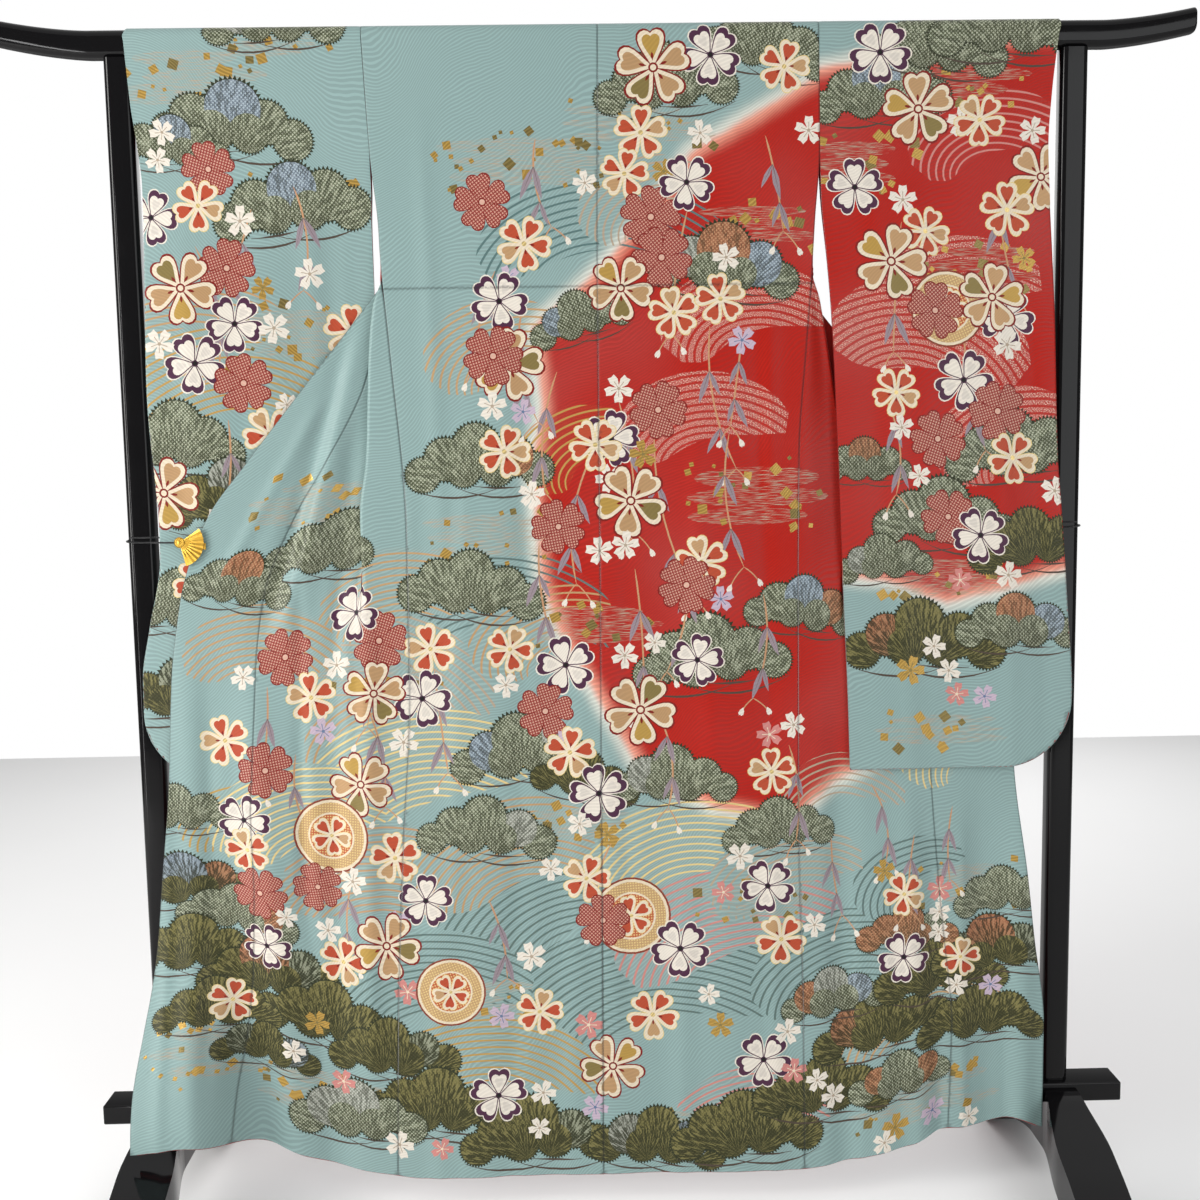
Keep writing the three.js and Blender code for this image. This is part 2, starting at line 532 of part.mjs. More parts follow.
function sleeve(side) {
  const columnsAcross = 10;
  const heights = [0, 0.05, 0.12, 0.22, 0.31, 0.38, 0.5, 0.62, 0.74, 0.84, 0.92, 0.972];
  const display = heights.map((t) => ({ layer: 0, t }));
  const over = steps(0, Math.PI, 2 * OVER_STEPS).map((angle) => ({ angle }));
  const behind = [...heights].reverse().map((t) => ({ layer: 1, t }));
  const loop = [...display, ...over, ...behind];
  const across = (j) => [0, 0.1, 0.24, 0.38, 0.52, 0.66, 0.8, 0.9, 0.96, 1][j];
  const pointAt = (i, j) => {
    const stop = loop[i];
    const u = across(j);
    const cornerAcross = Math.max(0, SLEEVE_CORNER - (1 - u) * SLEEVE_WIDTH);
    const bottom = SLEEVE_BOTTOM + SLEEVE_CORNER - Math.sqrt(SLEEVE_CORNER ** 2 - cornerAcross ** 2);
    if (stop.angle !== undefined) {
      const edges = sleeveEdges[side](RAIL.top);
      const outer = lerp(edges.outer, POST_CLEAR_X, stop.angle / Math.PI);
      const q = lerp(sleeveInner(side, RAIL.top), outer, u);
      const flat = Math.abs(Math.cos(stop.angle)) < 0.01 ? 0 : -Math.sign(Math.cos(stop.angle)) * OVER_FLAT;
      return new THREE.Vector3(
        sign[side] * q,
        flat - OVER_RADIUS * Math.cos(stop.angle),
        SHOULDER_SPRING + OVER_RADIUS * Math.sin(stop.angle),
      );
    }
    const z = lerp(bottom, SHOULDER_SPRING, stop.t);
    const edges = sleeveEdges[side](z);
    const row = sleeveDepth[side](z);
    const cuffOpen = stop.layer === 1 && z > 1440;
    const outer = cuffOpen ? Math.min(edges.outer, POST_CLEAR_X) : edges.outer;
    const q = lerp(sleeveInner(side, z), outer, u);
    const ripple = 1.6 * Math.sin(u * 9 + z / 190) * smooth((1560 - z) / 250) * smooth(u * 5) * smooth((1 - u) * 5);
    const depth = row.depth + row.push * smooth((600 - q) / 260) + ripple;
    const gap = lerp(row.gap, row.cuffGap, smooth((u - 0.5) / 0.4));
    return new THREE.Vector3(sign[side] * q, depth + stop.layer * gap, z);
  };
  add(
    `sleeve_${side}`,
    clothWall({ columns: loop.length, rows: columnsAcross, pointAt, insideIs: sign[side], looped: true }),
    silk[side],
  );
}

// ---------------------------------------------------------------- stand
function roundedSection(halfWidth, halfHeight, radius, arcSteps = 4) {
  const points = [];
  [[1, 1], [-1, 1], [-1, -1], [1, -1]].forEach(([sx, sy], quarter) => {
    steps(0, Math.PI / 2, arcSteps).forEach((angle) => {
      const turn = angle + quarter * Math.PI / 2;
      points.push(new THREE.Vector2(
        sx * (halfWidth - radius) + radius * Math.cos(turn),
        sy * (halfHeight - radius) + radius * Math.sin(turn),
      ));
    });
  });
  return points;
}

// Faces over rings of shared points, one ring for each station, capped at both ends.
function tubeFaces(rings, count) {
  const faces = [];
  for (let k = 0; k < rings - 1; k += 1) {
    for (let p = 0; p < count; p += 1) {
      const a = k * count + p;
      const b = k * count + (p + 1) % count;
      faces.push(a, b, b + count, a, b + count, a + count);
    }
  }
  [0, rings - 1].forEach((k, end) => {
    for (let p = 1; p < count - 1; p += 1) {
      const fan = [k * count, k * count + p, k * count + p + 1];
      faces.push(...(end ? fan : [fan[0], fan[2], fan[1]]));
    }
  });
  return faces;
}

// A bar along X from sections { x, z, scale }.
function bar(stations, section) {
  const positions = [];
  stations.forEach(({ x, z, scale }) => section.forEach((p) => positions.push(x, p.x * scale, z + p.y * scale)));
  return outwardSolid(positions, tubeFaces(stations.length, section.length));
}

function rail() {
  const half = (RAIL.top - RAIL.bottom) / 2;
  const arm = steps(RAIL.bendFrom, RAIL.halfLength, 4);
  const rise = (x) => RAIL.tipRise * ((Math.abs(x) - RAIL.bendFrom) / (RAIL.halfLength - RAIL.bendFrom)) ** 1.6;
  const stations = [...arm.map((x) => -x).reverse(), ...arm].map((x) => ({
    x, z: RAIL.bottom + half + rise(x), scale: 1,
  }));
  const tip = stations.length - 1;
  [[0, -1], [tip, 1]].forEach(([at, way]) => {
    stations[at] = { ...stations[at], scale: 0.9 };
    stations.splice(at === 0 ? 1 : tip, 0, { ...stations[at], x: way * (RAIL.halfLength - 2), scale: 1 });
  });
  add('rail', bar(stations, roundedSection(RAIL.halfDepth, half, RAIL.corner)), finish.lacquer);
}

function post(side) {
  const shape = new THREE.Shape(roundedSection(POST.width / 2, POST.depth / 2, POST.corner));
  const height = RAIL.bottom - CROSSBAR.top - 2 * SEAM_GAP;
  const geometry = new THREE.ExtrudeGeometry(shape, { depth: height, bevelEnabled: false });
  geometry.translate(sign[side] * POST.x, 0, CROSSBAR.top + SEAM_GAP);
  add(`post_${side}`, geometry, finish.lacquer);
}

function crossbar() {
  const middle = (CROSSBAR.top + CROSSBAR.bottom) / 2;
  const half = (CROSSBAR.top - CROSSBAR.bottom) / 2;
  const inset = CROSSBAR.edge;
  const shrink = 1 - inset / half;
  const stations = [
    { x: -CROSSBAR.halfLength, z: middle, scale: shrink }, { x: -CROSSBAR.halfLength + inset, z: middle, scale: 1 },
    { x: CROSSBAR.halfLength - inset, z: middle, scale: 1 }, { x: CROSSBAR.halfLength, z: middle, scale: shrink },
  ];
  add('crossbar', bar(stations, roundedSection(CROSSBAR.halfDepth, half, inset, 2)), finish.lacquer);
}

// An arched foot, a row for each level section from the toe to the lap that takes the crossbar.
const FOOT_COLUMNS = ['y', 'bottom', 'top'];
const FOOT_ROWS = [
  [278, 0, 8], [272, 0, 24], [258, 0, 43], [240, 0, 59], [220, 0, 73], [204, 0, 83], [190, 16, 91], [166, 36, 104],
  [140, 50, 116], [113, 60, 129], [84, 67, 143], [62, 71, 154], [42, 74, 164],
  [CROSSBAR.halfDepth + SEAM_GAP, 75, 168], [CROSSBAR.halfDepth + SEAM_GAP, 75, CROSSBAR.bottom - SEAM_GAP],
].map((row) => Object.fromEntries(FOOT_COLUMNS.map((name, i) => [name, row[i]])));

function foot(side) {
  const stations = [...FOOT_ROWS.map((row) => ({ ...row, y: -row.y })), ...[...FOOT_ROWS].reverse()];
  const positions = [];
  stations.forEach(({ y, bottom, top }) => {
    const half = lerp(FOOT.widthMiddle, FOOT.widthToe, smooth((Math.abs(y) - 20) / 110)) / 2;
    const edge = Math.min(FOOT.edge, (top - bottom) / 3);
    const x = sign[side] * FOOT.x;
    [
      [-half, bottom], [half, bottom], [half, top - edge], [half - edge, top], [-half + edge, top], [-half, top - edge],
    ].forEach(([dx, z]) => positions.push(x + dx, y, z));
  });
  add(`foot_${side}`, outwardSolid(positions, tubeFaces(stations.length, 6)), finish.lacquer);
}

// ---------------------------------------------------------------- clips and ties
// A folding-fan clip grips each front edge, and its cord is looped round the post.
const CLIP = {
  clear: 0.8, reach: 16, arm: 2, height: 9, fanRadius: 34, fanPlate: 1.6, fanFrom: -1.35, fanTo: 0.6, leaves: 9,
};

function clip(side) {
  const section = frontSection(side, TIE_HEIGHT);
  const edge = section.at(section.width);
  const back = 2 * CLOTH + BEHIND_GAP + CLIP.clear;
  const front = edge.y - CLIP.clear;
  const outline = [
    [edge.q - CLIP.reach, front], [edge.q + 3, front],
    [edge.q + 3, edge.y + back], [edge.q - CLIP.reach, edge.y + back],
    [edge.q - CLIP.reach, edge.y + back + CLIP.arm], [edge.q + 5, edge.y + back + CLIP.arm],
    [edge.q + 5, front - CLIP.arm], [edge.q - CLIP.reach, front - CLIP.arm],
  ].map(([q, y]) => new THREE.Vector2(sign[side] * q, y));
  const jaw = new THREE.ExtrudeGeometry(new THREE.Shape(outline), { depth: CLIP.height, bevelEnabled: false });
  jaw.translate(0, 0, edge.z - CLIP.height / 2);
  add(`clip_jaw_${side}`, jaw, finish.gold);

  const pivot = { q: edge.q + 20, z: edge.z + 6, y: front - CLIP.arm - SEAM_GAP - CLIP.fanPlate };
  const fan = [new THREE.Vector2(0, 0)];
  steps(CLIP.fanFrom, CLIP.fanTo, 2 * CLIP.leaves).forEach((angle, k) => {
    const radius = CLIP.fanRadius - (k % 2 ? 1.4 : 0);
    fan.push(new THREE.Vector2(-sign[side] * radius * Math.cos(angle), radius * Math.sin(angle)));
  });
  const plate = new THREE.ExtrudeGeometry(new THREE.Shape(fan), { depth: CLIP.fanPlate, bevelEnabled: false });
  plate.rotateX(Math.PI / 2);
  plate.translate(sign[side] * pivot.q, pivot.y + CLIP.fanPlate, pivot.z);
  add(`clip_fan_${side}`, plate, finish.gold);
  return pivot;
}

const CORD = { radius: 1.2, sides: 8, clear: 0.7, rise: 7, bend: 7 };
// How far before the post each cord starts its turn: the left one passes before the sleeve's edge.
const CORD_LEAD = { left: 6.5, right: 2.5 };

function tieCord(side, pivot) {
  const out = POST.width / 2 + CORD.radius + CORD.clear;
  const deep = POST.depth / 2 + CORD.radius + CORD.clear;
  const start = pivot.y + CLIP.fanPlate / 2;
  const inner = POST.x - out;
  const outer = POST.x + out;
  const lead = deep + CORD_LEAD[side];
  const { rise, bend: round } = CORD;
  const route = [
    [pivot.q + 2.5, start, pivot.z],
    [lerp(pivot.q, inner, 0.5), lerp(start, -lead, 0.5) - 1, pivot.z],
    [inner - 1, -lead, pivot.z],
    [inner + round, -deep, pivot.z],
    [POST.x, -deep, pivot.z],
    [outer - round, -deep, pivot.z + 0.1 * rise],
    [outer, -deep + round, pivot.z + 0.2 * rise],
    [outer, deep - round, pivot.z + 0.4 * rise],
    [outer - round, deep, pivot.z + 0.5 * rise],
    [inner + round, deep, pivot.z + 0.7 * rise],
    [inner, deep - round, pivot.z + 0.8 * rise],
    [inner, -deep + round, pivot.z + 0.95 * rise],
    [inner + round, -deep, pivot.z + rise],
    [POST.x, -deep, pivot.z + rise],
    [outer - round, -deep, pivot.z + rise],
  ].map(([q, y, z]) => new THREE.Vector3(sign[side] * q, y, z));
  const curve = new THREE.CatmullRomCurve3(route, false, 'centripetal');
  const circle = new THREE.Shape(steps(0, 2 * Math.PI, CORD.sides).slice(1).map(
    (angle) => new THREE.Vector2(CORD.radius * Math.cos(angle), CORD.radius * Math.sin(angle)),
  ));
  const cord = new THREE.ExtrudeGeometry(circle, { steps: 42, extrudePath: curve, bevelEnabled: false });
  add(`tie_cord_${side}`, cord, finish.cord);
}

// ---------------------------------------------------------------- assembly
rail();
crossbar();
neckCollar();
['left', 'right'].forEach((side) => {
  post(side);
  foot(side);
  backPanel(side);
  frontPanel(side);
  okumiPanel(side);
  frontCollar(side);
  sleeve(side);
  tieCord(side, clip(side));
});
hemLinings();

export default group;
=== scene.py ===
import math
import random

import bmesh
import bpy
import numpy as np
from mathutils import Matrix, Vector
from mathutils.geometry import delaunay_2d_cdt


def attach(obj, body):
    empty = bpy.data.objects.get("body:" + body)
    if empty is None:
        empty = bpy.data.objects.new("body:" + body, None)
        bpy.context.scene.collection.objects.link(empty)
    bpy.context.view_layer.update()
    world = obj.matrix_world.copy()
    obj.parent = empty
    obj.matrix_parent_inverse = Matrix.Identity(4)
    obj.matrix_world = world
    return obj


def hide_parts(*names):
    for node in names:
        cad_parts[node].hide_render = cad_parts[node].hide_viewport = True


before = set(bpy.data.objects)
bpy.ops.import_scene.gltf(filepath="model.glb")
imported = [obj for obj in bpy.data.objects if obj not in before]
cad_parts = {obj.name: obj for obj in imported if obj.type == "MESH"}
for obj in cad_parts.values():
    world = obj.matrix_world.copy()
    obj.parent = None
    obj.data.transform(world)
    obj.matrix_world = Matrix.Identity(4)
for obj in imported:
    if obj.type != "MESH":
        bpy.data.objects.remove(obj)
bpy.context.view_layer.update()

# A furisode kimono on its lacquered stand. Sizes are in millimetres, and become metres where a mesh is made.
# X runs across the kimono, -Y towards its display side, Z up, from the floor under the stand's middle.
MM = 0.001


# ---------------------------------------------------------------- camera, light and floor
CAMERA = {"place": (-0.041, -1.878, 1.105), "yaw": 0.94, "pitch": -5.82, "roll": -0.93, "lens": 39.0}


def make_camera():
    data = bpy.data.cameras.new("camera")
    data.sensor_width = 36.0
    data.lens = CAMERA["lens"]
    data.clip_start = 0.05
    camera = bpy.data.objects.new("camera", data)
    bpy.context.scene.collection.objects.link(camera)
    yaw, pitch, roll = (math.radians(CAMERA[key]) for key in ("yaw", "pitch", "roll"))
    ahead = Vector((math.sin(yaw) * math.cos(pitch), math.cos(yaw) * math.cos(pitch), math.sin(pitch)))
    right = Vector((math.cos(yaw), -math.sin(yaw), 0))
    up = right.cross(ahead)
    rolled_right = right * math.cos(roll) + up * math.sin(roll)
    rolled_up = up * math.cos(roll) - right * math.sin(roll)
    turn = Matrix((rolled_right, rolled_up, -ahead)).transposed().to_4x4()
    camera.matrix_world = Matrix.Translation(CAMERA["place"]) @ turn
    bpy.context.scene.camera = camera


LAMPS = {
    "key": {"place": (-3.1, -1.7, 1.7), "towards": (0, 0, 0.8), "size": (1.0, 2.2), "power": 102,
            "colour": (1.0, 0.985, 0.96)},
    "fill": {"place": (2.2, -3.6, 1.5), "towards": (0, 0, 0.8), "size": (2.2, 2.6), "power": 46,
             "colour": (0.97, 0.99, 1.0)},
    "rear": {"place": (0.5, 3.4, 2.4), "towards": (0, 0, 1.0), "size": (3.0, 2.0), "power": 60},
    "strip": {"place": (-1.9, -2.3, 1.0), "towards": (-0.6, 0, 1.0), "size": (0.14, 2.0), "power": 16},
    "ceiling": {"place": (0, 0, 5.0), "towards": (0, 0.001, 0), "size": (9.0, 9.0), "power": 160},
}
WORLD_LIGHT = 0.24
WORLD_SEEN = 1.0


def area_light(name, place, towards, size, power, colour=(1, 1, 1)):
    data = bpy.data.lights.new(name, "AREA")
    data.shape = "RECTANGLE"
    data.size, data.size_y = size
    data.energy = power
    data.color = colour
    lamp = bpy.data.objects.new(name, data)
    lamp.location = place
    lamp.rotation_euler = (Vector(towards) - Vector(place)).to_track_quat("-Z", "Y").to_euler()
    bpy.context.scene.collection.objects.link(lamp)


def light_the_studio():
    for name, lamp in LAMPS.items():
        area_light(name, **lamp)
    world = bpy.data.worlds.new("studio")
    world.use_nodes = True
    tree = world.node_tree
    path = tree.nodes.new("ShaderNodeLightPath")
    strength = tree.nodes.new("ShaderNodeMapRange")
    strength.inputs["To Min"].default_value = WORLD_LIGHT
    strength.inputs["To Max"].default_value = WORLD_SEEN
    tree.links.new(path.outputs["Is Camera Ray"], strength.inputs["Value"])
    tree.links.new(strength.outputs[0], tree.nodes["Background"].inputs["Strength"])
    tree.nodes["Background"].inputs["Color"].default_value = (1.0, 1.0, 1.0, 1)
    bpy.context.scene.world = world
    view = bpy.context.scene.view_settings
    view.view_transform = "Standard"
    view.look = "None"
    view.exposure = 0.0


# ---------------------------------------------------------------- materials
class Recipe:
    """A material's nodes, added and joined in one call each."""

    def __init__(self, name):
        self.material = bpy.data.materials.new(name)
        self.material.use_nodes = True
        self.tree = self.material.node_tree
        self.shader = self.tree.nodes["Principled BSDF"]

    def put(self, socket, value):
        if isinstance(value, bpy.types.NodeSocket):
            self.tree.links.new(value, socket)
        elif isinstance(value, (int, float)) or len(value) == len(socket.default_value):
            socket.default_value = value
        else:
            socket.default_value = (*value, 1.0)

    def node(self, kind, inputs=(), **settings):
        made = self.tree.nodes.new("ShaderNode" + kind)
        for key, value in settings.items():
            setattr(made, key, value)
        for key, value in dict(inputs).items():
            self.put(made.inputs[key], value)
        return made

    def math(self, operation, *values, clamped=False):
        made = self.node("Math", operation=operation, use_clamp=clamped)
        for i, value in enumerate(values):
            self.put(made.inputs[i], value)
        return made.outputs[0]

    def mix(self, factor, first, second, blend="MIX"):
        made = self.node("Mix", data_type="RGBA", blend_type=blend)
        for key, value in ((0, factor), (6, first), (7, second)):
            self.put(made.inputs[key], value)
        return made.outputs[2]

    def attribute(self, name, output="Fac"):
        return self.node("Attribute", attribute_name=name).outputs[output]

    def uv(self, layer):
        split = self.node("SeparateXYZ", {0: self.node("UVMap", uv_map=layer).outputs[0]})
        return split.outputs[0], split.outputs[1]

    def vector(self, x, y, z=0.0):
        return self.node("CombineXYZ", {0: x, 1: y, 2: z}).outputs[0]

    def noise(self, vector, scale, detail=2.0, roughness=0.5):
        inputs = {"Vector": vector, "Scale": scale, "Detail": detail, "Roughness": roughness}
        return self.node("TexNoise", inputs).outputs["Fac"]

    def place(self):
        return self.node("TexCoord").outputs["Object"]

    def ramp(self, value, low, high):
        """0 below low, 1 above high, smooth between."""
        made = self.node("MapRange", {"Value": value, "From Min": low, "From Max": high},
                         interpolation_type="SMOOTHSTEP")
        return made.outputs[0]

    def bump(self, height, distance, strength):
        return self.node("Bump", {"Height": height, "Distance": distance, "Strength": strength}).outputs[0]

    def finish(self, **inputs):
        for key, value in inputs.items():
            self.put(self.shader.inputs[key.replace("_", " ")], value)
        return self.material


def srgb(red, green, blue):
    """A colour as seen on a screen, 0 to 255, in linear light."""
    seen = [v / 255 for v in (red, green, blue)]
    return tuple(v / 12.92 if v <= 0.04 else ((v + 0.055) / 1.055) ** 2.4 for v in seen)


AQUA = srgb(138, 164, 162)
AQUA_PALE = srgb(206, 208, 198)
BLUSH = srgb(226, 150, 128)
RED = srgb(172, 19, 2)
LINING_RED = srgb(128, 12, 10)


RIPPLE_PITCH = 5.2


def woven_ripples(make):
    """The damask of the ground: fine flowing lines, 0 to 1, on the cloth's flat pattern in metres."""
    u, v = make.uv("cloth")
    where = make.vector(u, v)
    drift = make.noise(where, 5.0, 1.0)
    fine = make.noise(where, 34.0, 1.0)
    wander = make.math("MULTIPLY", make.math("SUBTRACT", drift, 0.5), 0.11)
    quiver = make.math("MULTIPLY", make.math("SUBTRACT", fine, 0.5), 0.008)
    slope = make.math("MULTIPLY", u, -0.62)
    swell = make.math("MULTIPLY", make.math("SINE", make.math("MULTIPLY", u, 38.0)), 0.010)
    waves = make.math("ADD", wander, make.math("ADD", quiver, swell))
    total = make.math("ADD", make.math("ADD", v, slope), waves)
    phase = make.math("FRACT", make.math("DIVIDE", total, RIPPLE_PITCH * MM))
    away = make.math("ABSOLUTE", make.math("SUBTRACT", phase, 0.5))
    return make.ramp(away, 0.22, 0.36), where


def silk_material(name):
    """Printed silk: the dyed ground, then the motifs' inks, then painted shade in the ripples' grooves, and
    the seams' stitch lines with painted shade.
    """
    make = Recipe(name)
    ripple, where = woven_ripples(make)
    dye = make.attribute("dye")
    cloudy = make.math("MULTIPLY", make.math("SUBTRACT", make.noise(where, 14.0, 3.0), 0.5), 0.34)
    edge = make.math("MULTIPLY", dye, make.math("SUBTRACT", 1.0, dye))
    blur = make.math("MULTIPLY", cloudy, make.math("MULTIPLY", edge, 4.0))
    blown = make.math("ADD", dye, blur, clamped=True)
    bloom = make.mix(make.ramp(blown, 0.0, 0.42), AQUA, AQUA_PALE)
    blush = make.mix(make.ramp(blown, 0.34, 0.66), bloom, BLUSH)
    ground = make.mix(make.ramp(blown, 0.55, 1.0), blush, RED)
    # Painted shade: the ground darkens in the grooves between the raised woven ripples.
    groove_shade = make.math("SUBTRACT", 1.0, ripple)
    shade = make.mix(make.math("MULTIPLY", groove_shade, 0.22), ground,
                     make.mix(0.5, ground, (0.02, 0.035, 0.035), "MULTIPLY"))
    tone = make.noise(where, 3.0, 2.0)
    shade = make.mix(make.ramp(tone, 0.35, 0.8), shade, make.mix(0.10, shade, (0.30, 0.40, 0.40)))
    ink, second = (make.attribute(kind, "Color") for kind in ("ink", "second"))
    cover, dots, needles, lines, foil = (make.attribute(kind) for kind in ("cover", *FILLS))
    x, y = make.uv("motif")
    inked = motif_pattern(make, ink, second, dots, needles, x, y)
    line_cover = motif_lines(make, lines, dots, x, y)
    colour = make.mix(make.math("MULTIPLY", cover, line_cover), shade, inked)
    # More painted shade in the ripples' grooves, over the inks as well.
    colour = make.mix(make.math("MULTIPLY", groove_shade, 0.10), colour, (0.05, 0.04, 0.03))
    # Painted shade along the seams and under the tuck's lap, darkening the cloth together with its stitch
    # lines.
    colour = make.mix(make.math("MULTIPLY", make.attribute("sewn"), 0.62), colour, (0.02, 0.025, 0.025))
    weave = make.noise(where, 1500.0, 1.0)
    crepe = make.noise(where, 240.0, 2.0)
    grain = make.math("ADD", make.math("MULTIPLY", weave, 0.25), make.math("MULTIPLY", crepe, 0.5))
    height = make.math("ADD", make.math("MULTIPLY", ripple, 0.5), grain)
    rough = make.math("ADD", 0.34, make.math("MULTIPLY", ripple, 0.16))
    rough = make.math("SUBTRACT", rough, make.math("MULTIPLY", foil, 0.14))
    make.finish(Base_Color=colour, Roughness=rough, Normal=make.bump(height, 0.00035, 0.55))
    make.finish(Sheen_Weight=0.08, Sheen_Roughness=0.35, Specular_IOR_Level=0.20)
    return make.finish(Metallic=make.math("MULTIPLY", foil, 0.35))


DOT_PITCH = 3.9


def motif_pattern(make, ink, second, dots, needles, x, y):
    """What fills a motif, in its own millimetres: tie-dye dots, pine needles, or a stroke's two tones."""
    across = make.math("MULTIPLY", make.math("ADD", x, y), 0.7071 / DOT_PITCH)
    down = make.math("MULTIPLY", make.math("SUBTRACT", x, y), 0.7071 / DOT_PITCH)
    du = make.math("SUBTRACT", make.math("FRACT", across), 0.5)
    dv = make.math("SUBTRACT", make.math("FRACT", down), 0.5)
    reach = make.math("MAXIMUM", make.math("ABSOLUTE", du), make.math("ABSOLUTE", dv))
    ring = make.math("SUBTRACT", 1.0, make.ramp(reach, 0.22, 0.31))
    hole = make.math("SUBTRACT", 1.0, make.ramp(reach, 0.05, 0.14))
    dot = make.math("MULTIPLY", make.math("SUBTRACT", ring, make.math("MULTIPLY", hole, 0.6)), dots)
    radius = make.math("SQRT", make.math("ADD", make.math("MULTIPLY", x, x), make.math("MULTIPLY", y, y)))
    angle = make.math("ARCTAN2", x, y)
    fan = make.vector(make.math("MULTIPLY", angle, 17.0), make.math("MULTIPLY", radius, 0.05))
    streaks = make.noise(fan, 1.0, 2.0, 0.7)
    low = make.math("SUBTRACT", 1.0, make.ramp(radius, 20.0, 84.0))
    dark = make.ramp(make.math("ADD", streaks, make.math("MULTIPLY", low, 0.08)), 0.49, 0.57)
    spoke = make.math("MULTIPLY", dark, make.math("MULTIPLY", needles, 0.86))
    pale = make.math("MULTIPLY", make.ramp(streaks, 0.50, 0.36), make.math("MULTIPLY", needles, 0.45))
    speckle = make.ramp(make.noise(make.vector(x, y), 0.9, 2.0), 0.50, 0.60)
    worn = make.mix(make.math("MULTIPLY", speckle, 0.22), ink, second)
    rooted = make.mix(make.math("MULTIPLY", needles, make.math("MULTIPLY", low, 0.7)), worn, srgb(66, 66, 34))
    dotted = make.mix(make.math("MAXIMUM", dot, pale), rooted, second)
    return make.mix(spoke, dotted, srgb(34, 38, 20))


STROKE_PITCH = 13.0


def motif_lines(make, lines, dots, x, y):
    """Where a bundle of strokes covers the ground: lines of 1 gives parallel strokes, broad and speckled
    where dots is 1, and lines of 2 a dry misty brush."""
    phase = make.math("FRACT", make.math("DIVIDE", y, STROKE_PITCH))
    wave = make.math("ABSOLUTE", make.math("SUBTRACT", phase, 0.5))
    broad = make.math("MULTIPLY", dots, 0.20)
    lifted_wave = make.math("SUBTRACT", wave, broad)
    grit = make.ramp(make.noise(make.vector(x, y), 0.55, 2.0), 0.44, 0.54)
    thin = make.math("SUBTRACT", 1.0, make.ramp(lifted_wave, 0.10, 0.16))
    stroke = make.math("MULTIPLY", thin, make.math("SUBTRACT", 1.0, make.math("MULTIPLY", dots, grit)))
    haze = make.math("MULTIPLY", grit, 0.07)
    grain = make.noise(make.vector(make.math("MULTIPLY", x, 0.05), y), 0.9, 3.0)
    dry = make.ramp(grain, 0.46, 0.66)
    brushed = make.math("SUBTRACT", lines, 1.0, clamped=True)
    single = make.math("MINIMUM", lines, 1.0)
    plain = make.math("SUBTRACT", 1.0, single)
    ruled = make.math("MULTIPLY", make.math("MULTIPLY", single, make.math("SUBTRACT", 1.0, brushed)),
                      make.math("MAXIMUM", stroke, haze))
    misty = make.math("MULTIPLY", brushed, dry)
    return make.math("ADD", plain, make.math("ADD", ruled, misty), clamped=True)


def lining_material():
    make = Recipe("lining silk")
    u, v = make.uv("cloth")
    where = make.vector(u, v)
    weave = make.noise(where, 1300.0, 1.0)
    cloud = make.noise(where, 9.0, 3.0)
    colour = make.mix(make.ramp(cloud, 0.3, 0.8), LINING_RED, srgb(148, 20, 14))
    height = make.math("ADD", make.math("MULTIPLY", weave, 0.4), make.noise(where, 180.0, 2.0))
    make.finish(Base_Color=colour, Roughness=0.5, Normal=make.bump(height, 0.0003, 0.5))
    return make.finish(Sheen_Weight=0.2, Sheen_Roughness=0.4)


def lacquer_material():
    make = Recipe("black lacquer")
    where = make.place()
    depth = make.noise(where, 3.0, 3.0)
    colour = make.mix(depth, (0.0022, 0.0022, 0.0026), (0.006, 0.0055, 0.006))
    rubbed = make.ramp(make.noise(where, 26.0, 4.0), 0.4, 0.8)
    rough = make.math("ADD", 0.07, make.math("MULTIPLY", rubbed, 0.05))
    height = make.noise(where, 11.0, 2.0)
    make.finish(Base_Color=colour, Roughness=rough, Normal=make.bump(height, 0.0006, 0.25))
    return make.finish(Coat_Weight=0.05, Coat_Roughness=0.03, Specular_IOR_Level=0.16)


def gilt_material():
    make = Recipe("gilt brass")
    where = make.place()
    tone = make.noise(where, 160.0, 3.0)
    colour = make.mix(tone, srgb(206, 150, 42), srgb(240, 200, 96))
    rough = make.math("ADD", 0.22, make.math("MULTIPLY", make.noise(where, 420.0, 2.0), 0.2))
    make.finish(Base_Color=colour, Roughness=rough, Normal=make.bump(tone, 0.0002, 0.5))
    return make.finish(Metallic=1.0)


def cord_material():
    make = Recipe("braided cord")
    where = make.node("Mapping", {"Vector": make.place(), "Rotation": (0.0, 0.5, 0.3)}).outputs[0]
    inputs = {"Vector": where, "Scale": 420.0, "Distortion": 3.0, "Detail": 2.0}
    braid = make.node("TexWave", inputs).outputs["Fac"]
    colour = make.mix(braid, (0.001, 0.001, 0.0015), (0.006, 0.006, 0.008))
    make.finish(Base_Color=colour, Roughness=0.5, Normal=make.bump(braid, 0.0004, 0.8))
    return make.finish(Sheen_Weight=0.15)


def floor_material():
    make = Recipe("pale floor")
    grain = make.noise(make.place(), 2.0, 3.0)
    colour = make.mix(grain, (0.92, 0.92, 0.92), (0.95, 0.95, 0.95))
    return make.finish(Base_Color=colour, Roughness=0.7)


# ---------------------------------------------------------------- sizes of the garment
CLOTH = 1.4
SEAM_GAP = 0.3
SEWN_GAP = 0.06
LAYER_GAP = 0.5
RAIL = {"bottom": 1677, "top": 1715, "half_depth": 15, "corner": 12, "half_length": 834,
        "tip_rise": 18, "tip_scale": 0.9, "bend_from": 700, "end_edge": 2.5}
POST = {"x": 664, "width": 38, "depth": 30, "corner": 9, "bottom": 175.3, "top": 1676.7}
CROSSBAR = {"bottom": 146, "top": 175, "half_depth": 24.5, "half_length": 760, "edge": 2.5}
FOOT = {"x": 667, "width_middle": 48, "width_toe": 78, "edge": 3}

